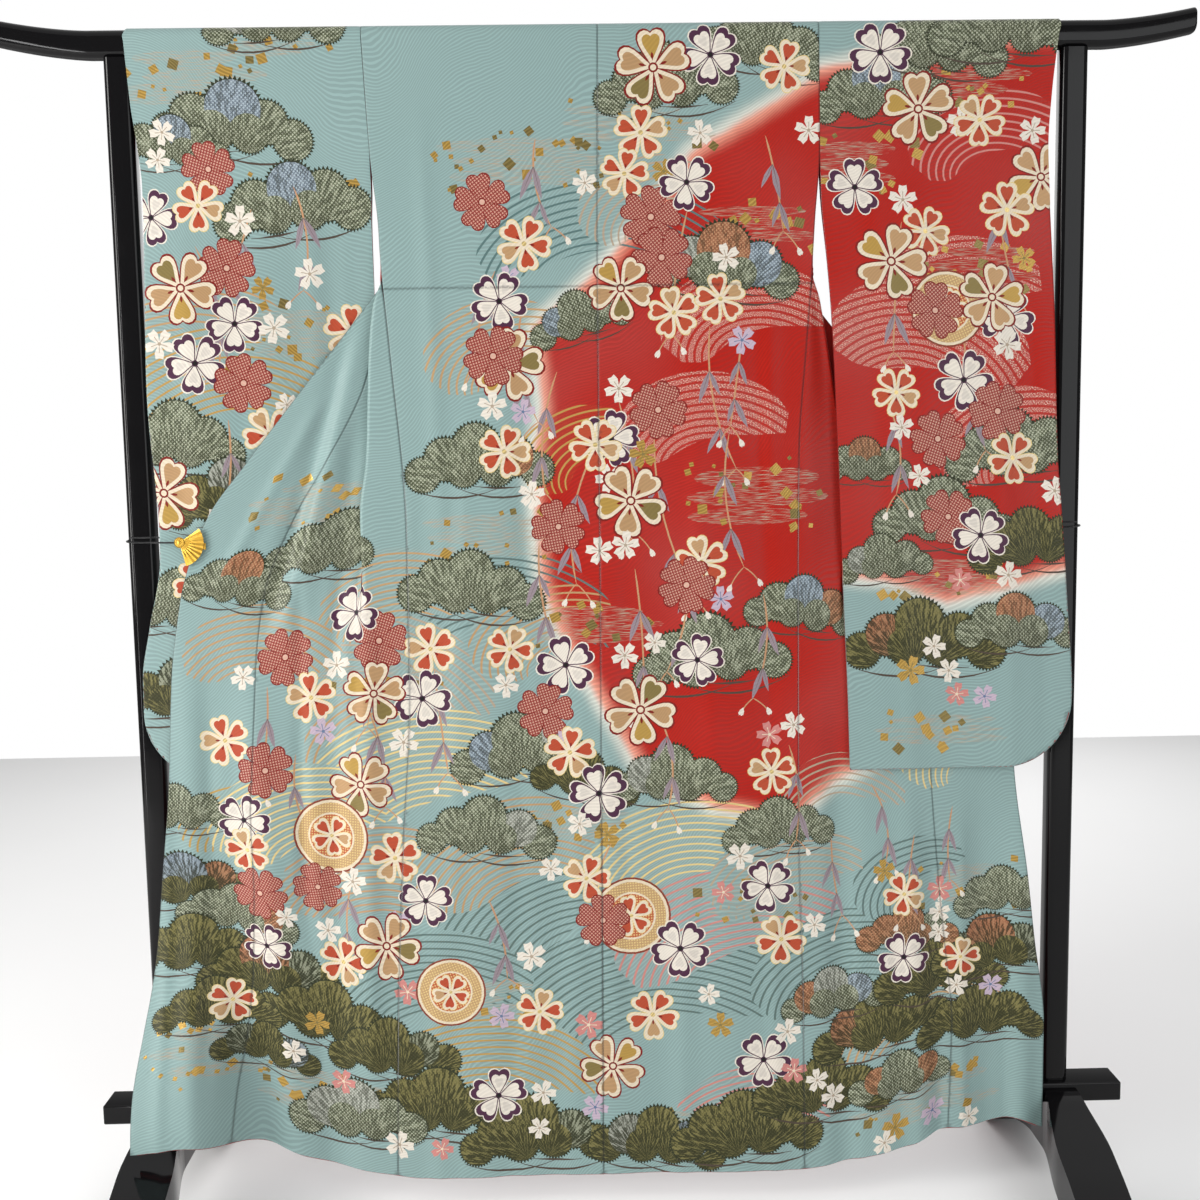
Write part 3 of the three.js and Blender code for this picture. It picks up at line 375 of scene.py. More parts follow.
HEM = 56
SPRING = RAIL["top"] - RAIL["corner"]
OVER_RADIUS = RAIL["corner"] + 0.6 + CLOTH
OVER_FLAT = RAIL["half_depth"] - RAIL["corner"]
RAIL_FACE = OVER_FLAT + OVER_RADIUS
# Along the cloth, from the spring line to the shoulder line, and that line's height on the flat pattern.
OVER_LENGTH = math.pi / 2 * OVER_RADIUS + OVER_FLAT
SHOULDER = SPRING + OVER_LENGTH

SEAM_TOP = 1409
OKUMI_TOP = 1365
ARMHOLE_BOTTOM = 1543
FRONT_WIDTH = 232
SHOULDER_FRONT_WIDTH = 237
SLEEVE_WIDTH = 323
SLEEVE_BOTTOM = 662
SLEEVE_CORNER = 100
COLLAR_WIDTH = 55
COLLAR_TOP = 1470
COLLAR_END = 850
NECK_HALF = 92
FOLD_RADIUS = 5
FOLD_SLACK = 2
# The tuck across the back that sets its length: how far the cloth stands out above it and in below it,
# and over what height each fades.
TUCK = 1358
TUCK_LAP = {"out": 1.3, "above": 14, "in": 0.7, "below": 3}
# An opened front is flat with the back from here down, and turns behind it by the top of the seam.
HINGE_FROM = 1330
HINGE_CLEAR = 1.4
SIGN = {"left": -1, "right": 1}


def lerp(a, b, t):
    return a + (b - a) * t


def smooth(value):
    t = np.clip(value, 0, 1)
    return t * t * (3 - 2 * t)


def table(names, rows):
    """A table with named columns, read at any values of its first column by a monotone cubic."""
    data = np.array(sorted(rows), dtype=float)
    keys, values = data[:, 0], data
    secant = np.diff(values, axis=0) / np.diff(keys)[:, None]
    slopes = np.vstack([secant[:1], secant[1:] * 0, secant[-1:]])
    product = secant[:-1] * secant[1:]
    slopes[1:-1] = np.where(product > 0, 2 * product / np.where(product > 0, secant[:-1] + secant[1:], 1), 0)

    def read(key):
        at = np.clip(np.asarray(key, dtype=float), keys[0], keys[-1])
        i = np.clip(np.searchsorted(keys, at, side="right") - 1, 0, len(keys) - 2)
        width = keys[i + 1] - keys[i]
        t = ((at - keys[i]) / width)[..., None]
        a, b, sa, sb, w = values[i], values[i + 1], slopes[i], slopes[i + 1], width[..., None]
        result = ((2 * t**3 - 3 * t**2 + 1) * a + (t**3 - 2 * t**2 + t) * w * sa
                  + (3 * t**2 - 2 * t**3) * b + (t**3 - t**2) * w * sb)
        return {name: result[..., column] for column, name in enumerate(names)}

    return read


CENTRE = table(["z", "x"], [[1717, -1], [1337, -7], [916, -10], [626, -13], [HEM, -19]])
SIDE_SEAM = {
    "left": table(["z", "q"], [
        [1717, 328], [1543, 320], [1443, 311], [1409, 310], [1272, 300], [1024, 284], [864, 285], [786, 286],
        [543, 303], [300, 317], [HEM, 325]]),
    "right": table(["z", "q"], [
        [1717, 305], [1543, 306], [1443, 299], [1409, 297], [1338, 292], [1264, 286], [1125, 276], [912, 274],
        [693, 274], [530, 275], [318, 280], [HEM, 282]]),
}
BACK_DEPTH = table(["z", "y"], [
    [1717, -17], [1690, -17], [1500, -20], [1200, -24], [900, -27], [600, -30], [300, -33], [HEM, -35]])

FRONT_COLUMNS = [
    "z", "edge", "edge_depth", "okumi", "ridge", "ridge_depth", "fold_depth", "folded", "side_depth"]
FRONTS = {
    "left": table(FRONT_COLUMNS, [
        [1717, 92, 17, 0, 0, 17, 17, 0, 17], [1690, 92, 17, 0, 0, 17, 17, 0, 17],
        [1640, 97, 17, 0, 0, 14, 17, 0, 14], [1560, 156, 16, 0, 0, 2, 14, 0, 2],
        [1480, 220, 12, 0, 0, -10, 8, 1, -10], [1409, 277, 4, 0, 0, -19, 2, 1, -19],
        [1355, 320, -2, 14, 8, -22, -2, 1, -22], [1300, 364, -6, 45, 20, -24, -3, 1, -23],
        [1205, 440, -14, 92, 34, -25, -4, 1, -24], [1120, 507, -21, 112, 46, -26, -6, 1, -25],
        [1047, 562, -27, 121, 60, -28, -12, 1, -26],
        [985, 590, -29, 124, 62, -30, -18, 0.7, -27], [900, 614, -30, 124, 60, -30, -24, 0.2, -28],
        [820, 624, -31, 126, 58, -30, -26, 0, -28], [641, 637, -32, 124, 55, -31, -28, 0, -30],
        [470, 654, -34, 146, 50, -32, -30, 0, -31], [318, 666, -34, 152, 50, -33, -32, 0, -33],
        [232, 676, -34, 150, 50, -34, -32, 0, -34], [130, 688, -34, 140, 50, -35, -33, 0, -35],
        [HEM, 691, -34, 132, 50, -35, -34, 0, -35]]),
    "right": table(FRONT_COLUMNS, [
        [1717, 92, 17, 0, 0, 17, 17, 0, 17], [1690, 92, 17, 0, 0, 17, 17, 0, 17],
        [1640, 93, 17, 0, 0, 14, 17, 0, 14], [1560, 128, 16, 0, 0, 2, 14, 0, 2],
        [1480, 188, 14, 0, 0, -10, 11, 1, -10], [1409, 243, 10, 0, 0, -19, 6, 1, -19],
        [1355, 285, 8, 14, 6, -20, 3, 1, -22], [1300, 328, 4, 45, 20, -16, 2, 1, -23],
        [1205, 402, 0, 92, 44, -13, 1, 1, -24],
        [1120, 468, -4, 112, 62, -13, 0, 1, -25], [1047, 524, -8, 121, 66, -14, -4, 1, -26],
        [985, 566, -9, 124, 66, -15, -8, 0.8, -27], [900, 578, -12, 126, 64, -18, -12, 0.3, -27],
        [820, 584, -15, 135, 60, -22, -16, 0, -28], [665, 591, -22, 147, 55, -26, -22, 0, -29],
        [480, 610, -31, 148, 50, -31, -30, 0, -31], [375, 621, -33, 146, 50, -32, -32, 0, -32],
        [225, 638, -34, 145, 50, -34, -32, 0, -34], [HEM, 638, -35, 152, 50, -35, -34, 0, -35]]),
}
HEM_LIFT = {
    "left": table(["q", "lift"], [
        [0, 0], [290, 1], [330, 7], [400, 20], [447, 38], [492, 56], [523, 71], [578, 90], [613, 97],
        [692, 89]]),
    "right": table(["q", "lift"], [
        [0, 0], [265, 0], [312, 4], [395, 23], [442, 37], [489, 58], [537, 62], [594, 74], [638, 57]]),
}
LIFT_FROM = 700
FOOT_LEAN = {"depth": 79, "from": 500, "over": 110, "top": 480}

# Soft folds: a ridge, or with a negative depth a trough, from (q, z) at its top to (q, z) at its foot.
# The first set is the main form; the second is finer and shallower.
FOLD_COLUMNS = ["side", "top_q", "top_z", "low_q", "low_z", "depth", "width"]
MAIN_FOLDS = [
    ["left", 330, 1330, 430, 960, 5, 19],
    ["left", 330, 1330, 462, 960, -4, 17],
    ["left", 345, 1010, 352, 300, 6, 20],
    ["left", 395, 900, 410, 60, -6, 24],
    ["left", 520, 900, 470, 60, 7, 26],
    ["left", 600, 930, 610, 300, 5, 26],
    ["left", 560, 700, 540, 60, -5, 24],
    ["left", 150, 1500, 210, 60, 3, 40],
    ["left", 60, 1200, 90, 60, -3, 40],
    ["right", 330, 900, 345, 60, -6, 24],
    ["right", 430, 700, 452, 90, 7, 20],
    ["right", 392, 640, 400, 60, 5, 24],
    ["right", 540, 700, 560, 60, -6, 28],
    ["right", 600, 660, 606, 60, 6, 20],
    ["right", 150, 1500, 180, 60, 3, 40],
    ["right", 80, 1200, 60, 60, -3, 40],
]
FINE_FOLDS = [
    ["left", 332, 1345, 436, 985, 3.2, 13],
    ["left", 344, 1345, 464, 980, -2.4, 15],
    ["left", 372, 1250, 520, 1000, 2.0, 12],
    ["left", 352, 1200, 386, 900, -2.4, 13],
    ["left", 250, 1640, 236, 1100, 1.3, 13],
    ["left", 190, 1250, 232, 500, 1.5, 15],
    ["left", 110, 1340, 128, 700, -1.2, 14],
    ["left", 40, 900, 62, 160, 1.4, 16],
    ["left", 262, 1150, 296, 560, -1.6, 12],
    ["left", 130, 640, 158, 60, -1.6, 17],
    ["left", 255, 600, 262, 60, 1.7, 15],
    ["left", 372, 1000, 383, 420, 1.8, 11],
    ["left", 436, 1120, 448, 560, -1.6, 10],
    ["left", 455, 820, 432, 200, -1.8, 12],
    ["left", 575, 860, 585, 240, -2.0, 12],
    ["left", 640, 800, 650, 120, 1.8, 11],
    ["right", 245, 1620, 232, 1120, 1.2, 13],
    ["right", 215, 1330, 236, 700, -1.4, 12],
    ["right", 120, 1300, 152, 620, 1.2, 15],
    ["right", 30, 1080, 22, 420, -1.2, 14],
    ["right", 236, 820, 240, 90, 1.6, 13],
    ["right", 110, 560, 96, 60, 1.5, 16],
    ["right", 360, 560, 368, 60, 1.6, 11],
    ["right", 470, 560, 486, 80, -1.8, 12],
    ["right", 512, 640, 518, 90, 1.5, 10],
    ["right", 575, 560, 584, 70, -1.5, 10],
]


def fold_depth(rows, side, q, z):
    total = np.zeros_like(q)
    for row in rows:
        fold = dict(zip(FOLD_COLUMNS, row))
        if fold["side"] != side:
            continue
        along = (fold["top_z"] - z) / (fold["top_z"] - fold["low_z"])
        fade = smooth(along * 3) * smooth((1.4 - along) * 2.5)
        middle = lerp(fold["top_q"], fold["low_q"], along)
        total -= fold["depth"] * fade * np.exp(-(((q - middle) / fold["width"]) ** 2))
    return total


FINE_STRENGTH = 1.45


def soft_folds(side, q, z):
    return fold_depth(MAIN_FOLDS, side, q, z) + FINE_STRENGTH * fold_depth(FINE_FOLDS, side, q, z)


def lifted(side, q, z):
    return z + HEM_LIFT[side](q)["lift"] * smooth((LIFT_FROM - z) / (LIFT_FROM - HEM))


def foot_lean(side, q, z):
    if side == "right":
        return np.zeros_like(q)
    lean = smooth((q - FOOT_LEAN["from"]) / FOOT_LEAN["over"])
    return -FOOT_LEAN["depth"] * lean * smooth((FOOT_LEAN["top"] - z) / (FOOT_LEAN["top"] - HEM)) ** 1.3


def tuck_step(z):
    """The tuck's edge: the cloth above laps a little over the cloth below."""
    above = np.clip((z - TUCK) / TUCK_LAP["above"], 0, 20)
    below = np.clip((TUCK - z) / TUCK_LAP["below"], 0, 20)
    return np.where(z > TUCK, -TUCK_LAP["out"] * np.exp(-above), TUCK_LAP["in"] * np.exp(-below))


def over_rail(face, height):
    """y and z of cloth on the rail, from the flat pattern's height above the spring line."""
    rise = height - SPRING
    angle = np.clip(rise / OVER_RADIUS, 0, math.pi / 2)
    flat = np.clip(OVER_FLAT - (rise - math.pi / 2 * OVER_RADIUS), 0, OVER_FLAT)
    y = np.where(rise < math.pi / 2 * OVER_RADIUS, OVER_FLAT + OVER_RADIUS * np.cos(angle), flat)
    return face * y, SPRING + OVER_RADIUS * np.sin(angle)


# ---------------------------------------------------------------- surfaces of the pieces
def back_surface(side):
    """Flat pattern (x, height) to a place in space, on the back panel's outer face."""
    def place(x, height):
        z = np.minimum(height, SPRING)
        q = np.abs(x)
        seam = SIDE_SEAM[side](z)["q"]
        fade = smooth((seam - q) / 40) * smooth(q / 30 + 0.2)
        y = BACK_DEPTH(z)["y"] + soft_folds(side, q, z) * fade + tuck_step(z)
        rail_y, rail_z = over_rail(-1, height)
        over = height > SPRING
        return np.stack([x, np.where(over, rail_y, y), np.where(over, rail_z, lifted(side, q, z))], axis=-1)
    return place


def front_section(side, z):
    """The level section of an opened front, as arrays for heights z."""
    row = FRONTS[side](z)
    seam = SIDE_SEAM[side](z)["q"]
    panel = lerp(FRONT_WIDTH, SHOULDER_FRONT_WIDTH, smooth((z - SEAM_TOP) / 200))
    width = panel + row["okumi"]
    hinge = math.pi * smooth((z - HINGE_FROM) / (SEAM_TOP - HINGE_FROM))
    start_q = seam + SEAM_GAP / 2 + HINGE_CLEAR * np.sin(hinge)
    behind = BACK_DEPTH(z)["y"] + (1 - np.cos(hinge)) / 2 * (2 * CLOTH + 2 * SEAM_GAP)
    start_y = np.maximum(row["side_depth"], behind)
    r = FOLD_RADIUS
    ridge = row["ridge"]
    fixed = start_q + ridge * (np.cos(hinge) - 1) - r * np.sin(hinge) - r * (2 * math.pi - hinge)
    back = np.maximum(2, (fixed + width - row["edge"]) / 2)
    first = ridge + r * (math.pi - hinge)
    second = first + back
    ends = [ridge, first, second, second + math.pi * r]
    return {"row": row, "panel": panel, "width": width, "hinge": hinge, "start_q": start_q,
            "start_y": start_y, "ridge": ridge, "back": back, "ends": ends}


def front_at(side, s, height):
    """A place on an opened front, s from the side seam along the cloth."""
    z = np.minimum(height, SPRING)
    part = front_section(side, z)
    row, ends, hinge, ridge, back = (part[key] for key in ("row", "ends", "hinge", "ridge", "back"))
    start_q, start_y, width, r = part["start_q"], part["start_y"], part["width"], FOLD_RADIUS
    ridge_y = lerp(row["ridge_depth"], start_y, np.sin(hinge / 2))
    back_y = ridge_y + r * (1 + np.cos(hinge))
    shift = np.maximum(row["fold_depth"] - (back_y + 2 * r), -FOLD_SLACK)
    inner_y = back_y + shift + 2 * r
    turn = hinge + (s - ends[0]) / r
    far = (s - ends[2]) / r
    fold_q = start_q + ridge * np.cos(hinge) - r * np.sin(hinge)
    last = np.maximum(1, width - ends[3])
    choose = [s <= ends[0], s <= ends[1], s <= ends[2], s <= ends[3]]
    q = np.select(choose, [
        start_q + s * np.cos(hinge),
        start_q + ridge * np.cos(hinge) + r * (np.sin(turn) - np.sin(hinge)),
        fold_q - (s - ends[1]),
        fold_q - back - r * np.sin(far)], fold_q - back + (s - ends[3]))
    y = np.select(choose, [
        lerp(start_y, ridge_y, smooth(s / np.maximum(ridge, 1))),
        ridge_y + r * (np.cos(hinge) - np.cos(turn)),
        back_y + shift * smooth((s - ends[1]) / back),
        back_y + shift + r * (1 - np.cos(far))], lerp(inner_y, row["edge_depth"], (s - ends[3]) / last))
    q = lerp(lerp(start_q, row["edge"], s / width), q, row["folded"])
    y = lerp(lerp(start_y, row["edge_depth"], s / width), y, row["folded"])
    free = smooth((s - ends[0] * row["folded"]) / 60)
    y = y + soft_folds(side, q, z) * free + foot_lean(side, q, z)
    rail_y, rail_z = over_rail(1, height)
    over = height > SPRING
    level = np.where(over, rail_z, lifted(side, q, z))
    return np.stack([SIGN[side] * q, np.where(over, rail_y, y), level], axis=-1)


SLEEVE_EDGES = {
    "left": table(["z", "inner", "outer"], [
        [1717, 328, 653], [1611, 324, 646], [ARMHOLE_BOTTOM, 320, 638], [1500, 320, 635], [1448, 322, 636],
        [1355, 323, 639], [1209, 324, 643], [1086, 325, 637], [1040, 325, 635], [985, 325, 636],
        [885, 325, 656], [811, 325, 669], [SLEEVE_BOTTOM, 325, 671]]),
    "right": table(["z", "inner", "outer"], [
        [1717, 305, 642], [1611, 306, 630], [ARMHOLE_BOTTOM, 306, 626], [1488, 307, 628], [1385, 316, 634],
        [1310, 322, 638], [1118, 331, 645], [1012, 335, 654], [905, 339, 662], [768, 345, 671],
        [SLEEVE_BOTTOM, 348, 671]]),
}
SLEEVE_COLUMNS = ["z", "depth", "push", "gap", "cuff_gap"]
CLOSED_GAP = 2 * CLOTH + LAYER_GAP
RAIL_GAP = 2 * RAIL_FACE
SLEEVE_DEPTH = {
    "left": table(SLEEVE_COLUMNS, [
        [1717, -17, 0, RAIL_GAP, RAIL_GAP], [1677, -17, 0, RAIL_GAP, RAIL_GAP], [1600, -17.5, 0, 28, 26],
        [ARMHOLE_BOTTOM, -18, 1, 22, 16], [1450, -20.5, 14, 10, CLOSED_GAP], [1350, -21.5, 26, 6, CLOSED_GAP],
        [1100, -21.5, 26, 5, CLOSED_GAP], [SLEEVE_BOTTOM, -22, 24, CLOSED_GAP, CLOSED_GAP]]),
    "right": table(SLEEVE_COLUMNS, [
        [1717, -17, 0, RAIL_GAP, RAIL_GAP], [1677, -17, 0, RAIL_GAP, RAIL_GAP], [1600, -18, 0, 27, 26],
        [ARMHOLE_BOTTOM, -19.5, 0, 20, 16], [1450, -22, 0, 10, CLOSED_GAP], [1350, -24, 0, 6, CLOSED_GAP],
        [1000, -29, 0, 5, CLOSED_GAP], [SLEEVE_BOTTOM, -33, 0, CLOSED_GAP, CLOSED_GAP]]),
}
POST_CLEAR_X = 641
CUFF_BOTTOM = SPRING - 230


def sleeve_bottom(u):
    corner = np.clip(SLEEVE_CORNER - (1 - u) * SLEEVE_WIDTH, 0, SLEEVE_CORNER)
    return SLEEVE_BOTTOM + SLEEVE_CORNER - np.sqrt(SLEEVE_CORNER**2 - corner**2)


# Folds across a sleeve, as shares of its width: top_u, top_z, low_u, low_z, depth and width.
SLEEVE_FOLDS = {
    "left": [[0.30, 1640, 0.22, 900, 2.0, 0.05], [0.62, 1560, 0.55, 760, -2.2, 0.07],
             [0.82, 1500, 0.80, 800, 1.6, 0.05], [0.12, 1500, 0.15, 1000, 1.2, 0.04]],
    "right": [[0.22, 1600, 0.28, 700, 2.0, 0.05], [0.52, 1640, 0.50, 820, -2.0, 0.07],
              [0.76, 1560, 0.72, 700, 1.8, 0.05], [0.9, 1400, 0.88, 760, -1.2, 0.04]],
}


def sleeve_surface(side):
    """The sleeve's flat pattern: millimetres across it, and a height that runs on past the shoulder line
    and down the layer behind."""
    top = 2 * SHOULDER

    def place(across, height):
        u = across / SLEEVE_WIDTH
        behind = height > SHOULDER
        level = np.where(behind, top - height, height)
        z = np.clip(level, SLEEVE_BOTTOM, SPRING)
        edges, row = SLEEVE_EDGES[side](z), SLEEVE_DEPTH[side](z)
        inner = np.where(z >= ARMHOLE_BOTTOM, SIDE_SEAM[side](z)["q"], edges["inner"]) + SEAM_GAP
        cuff_open = smooth((z - 1425) / 30) * behind
        outer = lerp(edges["outer"], np.minimum(edges["outer"], POST_CLEAR_X), cuff_open)
        top_edges = SLEEVE_EDGES[side](np.full_like(z, RAIL["top"]))
        turned = np.clip((height - SPRING) / (2 * OVER_LENGTH), 0, 1)
        over = level > SPRING
        outer = np.where(over, lerp(top_edges["outer"], POST_CLEAR_X, turned), outer)
        q = lerp(inner, outer, u)
        ripple = 1.6 * np.sin(u * 9 + z / 190) * smooth((1560 - z) / 250)
        ripple = ripple * smooth(u * 5) * smooth((1 - u) * 5)
        for top_u, top_z, low_u, low_z, depth, width in SLEEVE_FOLDS[side]:
            along = (top_z - z) / (top_z - low_z)
            fade = smooth(along * 3) * smooth((1.3 - along) * 2.5) * smooth(u * 8) * smooth((1 - u) * 8)
            ripple = ripple - depth * fade * np.exp(-(((u - lerp(top_u, low_u, along)) / width) ** 2))
        depth = row["depth"] + row["push"] * smooth((600 - q) / 260) + ripple
        gap = lerp(row["gap"], row["cuff_gap"], smooth((u - 0.5) / 0.4))
        y = depth + behind * gap
        middle = depth + gap / 2
        foot = np.clip((4 - (level - sleeve_bottom(u))) / 4, 0, 1)
        cuff = np.clip((across - (SLEEVE_WIDTH - 3)) / 3, 0, 1) * smooth((CUFF_BOTTOM - z) / 14)
        closed = 1 - np.sqrt(np.clip(1 - np.maximum(foot, cuff) ** 2, 0, 1))
        y = lerp(y, middle, closed)
        rail_y, rail_z = over_rail(np.where(behind, 1, -1), level)
        return np.stack([SIGN[side] * q, np.where(over, rail_y, y), np.where(over, rail_z, level)], axis=-1)
    return place


# ---------------------------------------------------------------- the print: colours and motifs
CREAM = srgb(218, 204, 180)
WHITE = srgb(220, 212, 200)
DARK_RED = srgb(120, 24, 20)
RUST = srgb(174, 72, 46)
TAN = srgb(178, 142, 102)
PLUM = srgb(72, 38, 62)
BLACK = srgb(26, 22, 24)
GOLD = srgb(176, 142, 72)
PALE_GOLD = srgb(216, 192, 130)
KANOKO_RED = srgb(134, 34, 30)
KANOKO_PINK = srgb(206, 166, 148)
PINE = srgb(72, 80, 54)
PINE_DARK = srgb(40, 46, 28)
PINE_DOT = srgb(190, 194, 172)
OLIVE = srgb(128, 112, 66)
OLIVE_PINE = srgb(92, 88, 48)
PALE_GREY = srgb(206, 198, 188)
SLATE = srgb(96, 116, 146)
LILAC = srgb(186, 168, 184)
ROSE = srgb(196, 128, 122)
TEAL = srgb(78, 106, 106)
GREY_BROWN = srgb(168, 152, 132)
LEAF = srgb(142, 128, 136)


def signed_area(outline):
    x, y = np.asarray(outline).T
    return float(np.sum(x * np.roll(y, -1) - np.roll(x, -1) * y)) / 2


LONGEST = 7.0


def split_long(outline):
    """The same outline, its long edges split so that they follow the cloth's folds."""
    reach = np.linalg.norm(np.roll(outline, -1, axis=0) - outline, axis=1)
    if reach.max() <= LONGEST:
        return outline
    counts = np.ceil(reach / LONGEST).astype(int)
    ends = zip(outline, np.roll(outline, -1, axis=0), counts)
    return np.concatenate([lerp(a, b, np.arange(count)[:, None] / count) for a, b, count in ends if count])


FILLS = ("dots", "needles", "lines", "foil")


class Print:
    """The dyed design of one piece of cloth, from the lowest layer up, on its flat pattern in millimetres."""

    def __init__(self):
        self.shapes = []

    def add(self, outline, ink, second=None, at=(0, 0), turn=0.0, dots=0.0, needles=0.0, lines=0.0,
            foil=0.0, round_about=False):
        outline = np.asarray(outline, dtype=float)
        if signed_area(outline) < 0:
            outline = outline[::-1]
        self.shapes.append({
            "outline": split_long(outline), "ink": ink, "second": second or ink, "at": at, "turn": turn,
            "dots": dots, "needles": needles, "lines": lines, "foil": foil, "round": round_about})

    def near(self, low, high):
        return [s for s in self.shapes
                if np.all(s["outline"].max(axis=0) > low) and np.all(s["outline"].min(axis=0) < high)]


def moved(points, at, turn, size=1.0):
    points = np.asarray(points, dtype=float) * size
    c, s = math.cos(turn), math.sin(turn)
    return points @ np.array([[c, s], [-s, c]]) + np.asarray(at)


def disc(radius, count=12):
    turns = np.arange(count) * 2 * math.pi / count
    return np.stack([radius * np.cos(turns), radius * np.sin(turns)], axis=-1)


FIVE = [k * 2 * math.pi / 5 for k in range(5)]
HALF_PETAL = [
    (0.05, 0.0), (0.14, 0.17), (0.26, 0.38), (0.355, 0.58), (0.392, 0.74), (0.37, 0.87), (0.29, 0.96),
    (0.18, 0.995), (0.075, 0.965), (0.0, 0.90)]


def heart_petal(keep=1.0, middle=0.55, slim=1.0, every=1):
    """A petal pointing along +y, rounded and notched at its tip, drawn in towards its own middle."""
    right = HALF_PETAL[::every] if every > 1 else HALF_PETAL[:-1]
    shape = np.array(right + [HALF_PETAL[-1]] + [(-x, y) for x, y in reversed(right)])
    return (shape - (0, middle)) * (keep * slim, keep) + (0, middle)


WHOLE = heart_petal()
LINED = heart_petal(0.88)
HEART = heart_petal(0.60, 0.60)
DROP = np.array([(0, 0.17), (0.035, 0.27), (0.03, 0.34), (0, 0.39), (-0.03, 0.34), (-0.035, 0.27)])
SMALL_PETAL = heart_petal(1.0, slim=0.86, every=3)
SMALL_LINE = np.array([(-0.02, 0.1), (0.02, 0.1), (0.03, 0.55), (-0.03, 0.55)])


def five(design, outline, at, size, turn, inks, **pattern):
    """The same shape on each of the five petals."""
    for k, lean in enumerate(FIVE):
        design.add(moved(outline, at, turn - lean, size), inks[k % len(inks)], at=at, turn=turn, **pattern)


def gilt_blossom(design, at, size, turn):
    five(design, WHOLE, at, size, turn, [DARK_RED])
    five(design, LINED, at, size, turn, [CREAM])
    five(design, HEART, at, size, turn, [TAN, OLIVE, TAN, GOLD, TAN], foil=0.4)
    five(design, DROP, at, size, turn, [DARK_RED])
    design.add(moved(disc(0.13), at, turn, size), DARK_RED)
    design.add(moved(disc(0.08), at, turn, size), CREAM)


def violet_blossom(design, at, size, turn):
    five(design, WHOLE, at, size, turn, [WHITE])
    five(design, heart_petal(0.90), at, size, turn, [PLUM])
    five(design, heart_petal(0.66, 0.30), at, size, turn, [WHITE])
    five(design, heart_petal(0.36, 0.42), at, size, turn, [PALE_GREY, WHITE, PALE_GREY])
    five(design, DROP * 0.8, at, size, turn, [WHITE])
    design.add(moved(disc(0.075), at, turn, size), BLACK)


def cream_blossom(design, at, size, turn):
    five(design, WHOLE, at, size, turn, [PALE_GOLD], foil=0.3)
    five(design, heart_petal(0.93), at, size, turn, [CREAM])
    five(design, HEART, at, size, turn, [RUST, RUST, TAN])
    five(design, DROP, at, size, turn, [DARK_RED])
    design.add(moved(disc(0.09), at, turn, size), PALE_GOLD, foil=1.0)


def kanoko_blossom(design, at, size, turn):
    five(design, heart_petal(1.0, slim=1.12), at, size, turn, [DARK_RED])
    five(design, heart_petal(0.90, slim=1.16), at, size, turn, [KANOKO_RED], second=KANOKO_PINK, dots=1.0)
    design.add(moved(disc(0.15), at, turn, size), DARK_RED)
    design.add(moved(disc(0.10), at, turn, size), KANOKO_PINK)


def medallion(design, at, size, turn):
    """A plain round of tie-dye in bands, with a blossom on it."""
    bands = [(1.0, DARK_RED, 0.0), (0.95, CREAM, 0.0), (0.88, TAN, 1.0), (0.62, CREAM, 0.0),
             (0.57, RUST, 1.0)]
    for radius, ink, dots in bands:
        design.add(moved(disc(radius, 30), at, turn, size), ink, PALE_GOLD, at=at, turn=turn, dots=dots)
    cream_blossom(design, at, size * 0.54, turn)


SMALL_INKS = {
    "white": (WHITE, GREY_BROWN), "gold": (GOLD, OLIVE), "rose": (ROSE, CREAM), "lilac": (LILAC, SLATE)}


def small_blossom(design, at, size, turn, tint):
    ink, heart = SMALL_INKS[tint]
    five(design, SMALL_PETAL, at, size, turn, [ink], foil=0.8 if tint == "gold" else 0.0)
    five(design, SMALL_LINE, at, size, turn, [heart])
    design.add(moved(disc(0.12, 6), at, turn, size), heart)


def stroke_outline(points, width, taper=0.25):
    points = np.asarray(points, dtype=float)
    along = np.gradient(points, axis=0)
    along /= np.linalg.norm(along, axis=1)[:, None]
    t = np.linspace(0, 1, len(points))
    half = width / 2 * np.clip(np.minimum(t, 1 - t) / taper, 0.25, 1)[:, None]
    across = np.stack([-along[:, 1], along[:, 0]], axis=-1) * half
    return np.concatenate([points + across, (points - across)[::-1]])


def bow(start, end, sag, count=9):
    """A curve from start to end that bows to one side."""
    t = np.linspace(0, 1, count)[:, None]
    start, end = np.asarray(start, dtype=float), np.asarray(end, dtype=float)
    side = np.array([-(end - start)[1], (end - start)[0]])
    return lerp(start, end, t) + side * sag * 4 * t * (1 - t)


LEAF_BLADE = [
    (0, 0), (0.08, 0.25), (0.11, 0.5), (0.07, 0.78), (0, 1), (-0.06, 0.7), (-0.09, 0.42), (-0.06, 0.2)]
LEAF_RIB = [(-0.012, 0.02), (0.012, 0.02), (0.006, 0.92)]
BUD = [
    (0, -1), (0.42, -0.35), (0.5, 0.25), (0.2, 0.62), (0, 0.42), (-0.2, 0.62), (-0.5, 0.25), (-0.42, -0.35)]


def leaf(design, at, length, turn):
    design.add(moved(LEAF_BLADE, at, turn, length), LEAF)
    design.add(moved(LEAF_RIB, at, turn, length), srgb(104, 88, 84))


def bud(design, at, size, turn):
    design.add(moved(BUD, at, turn, size), WHITE)


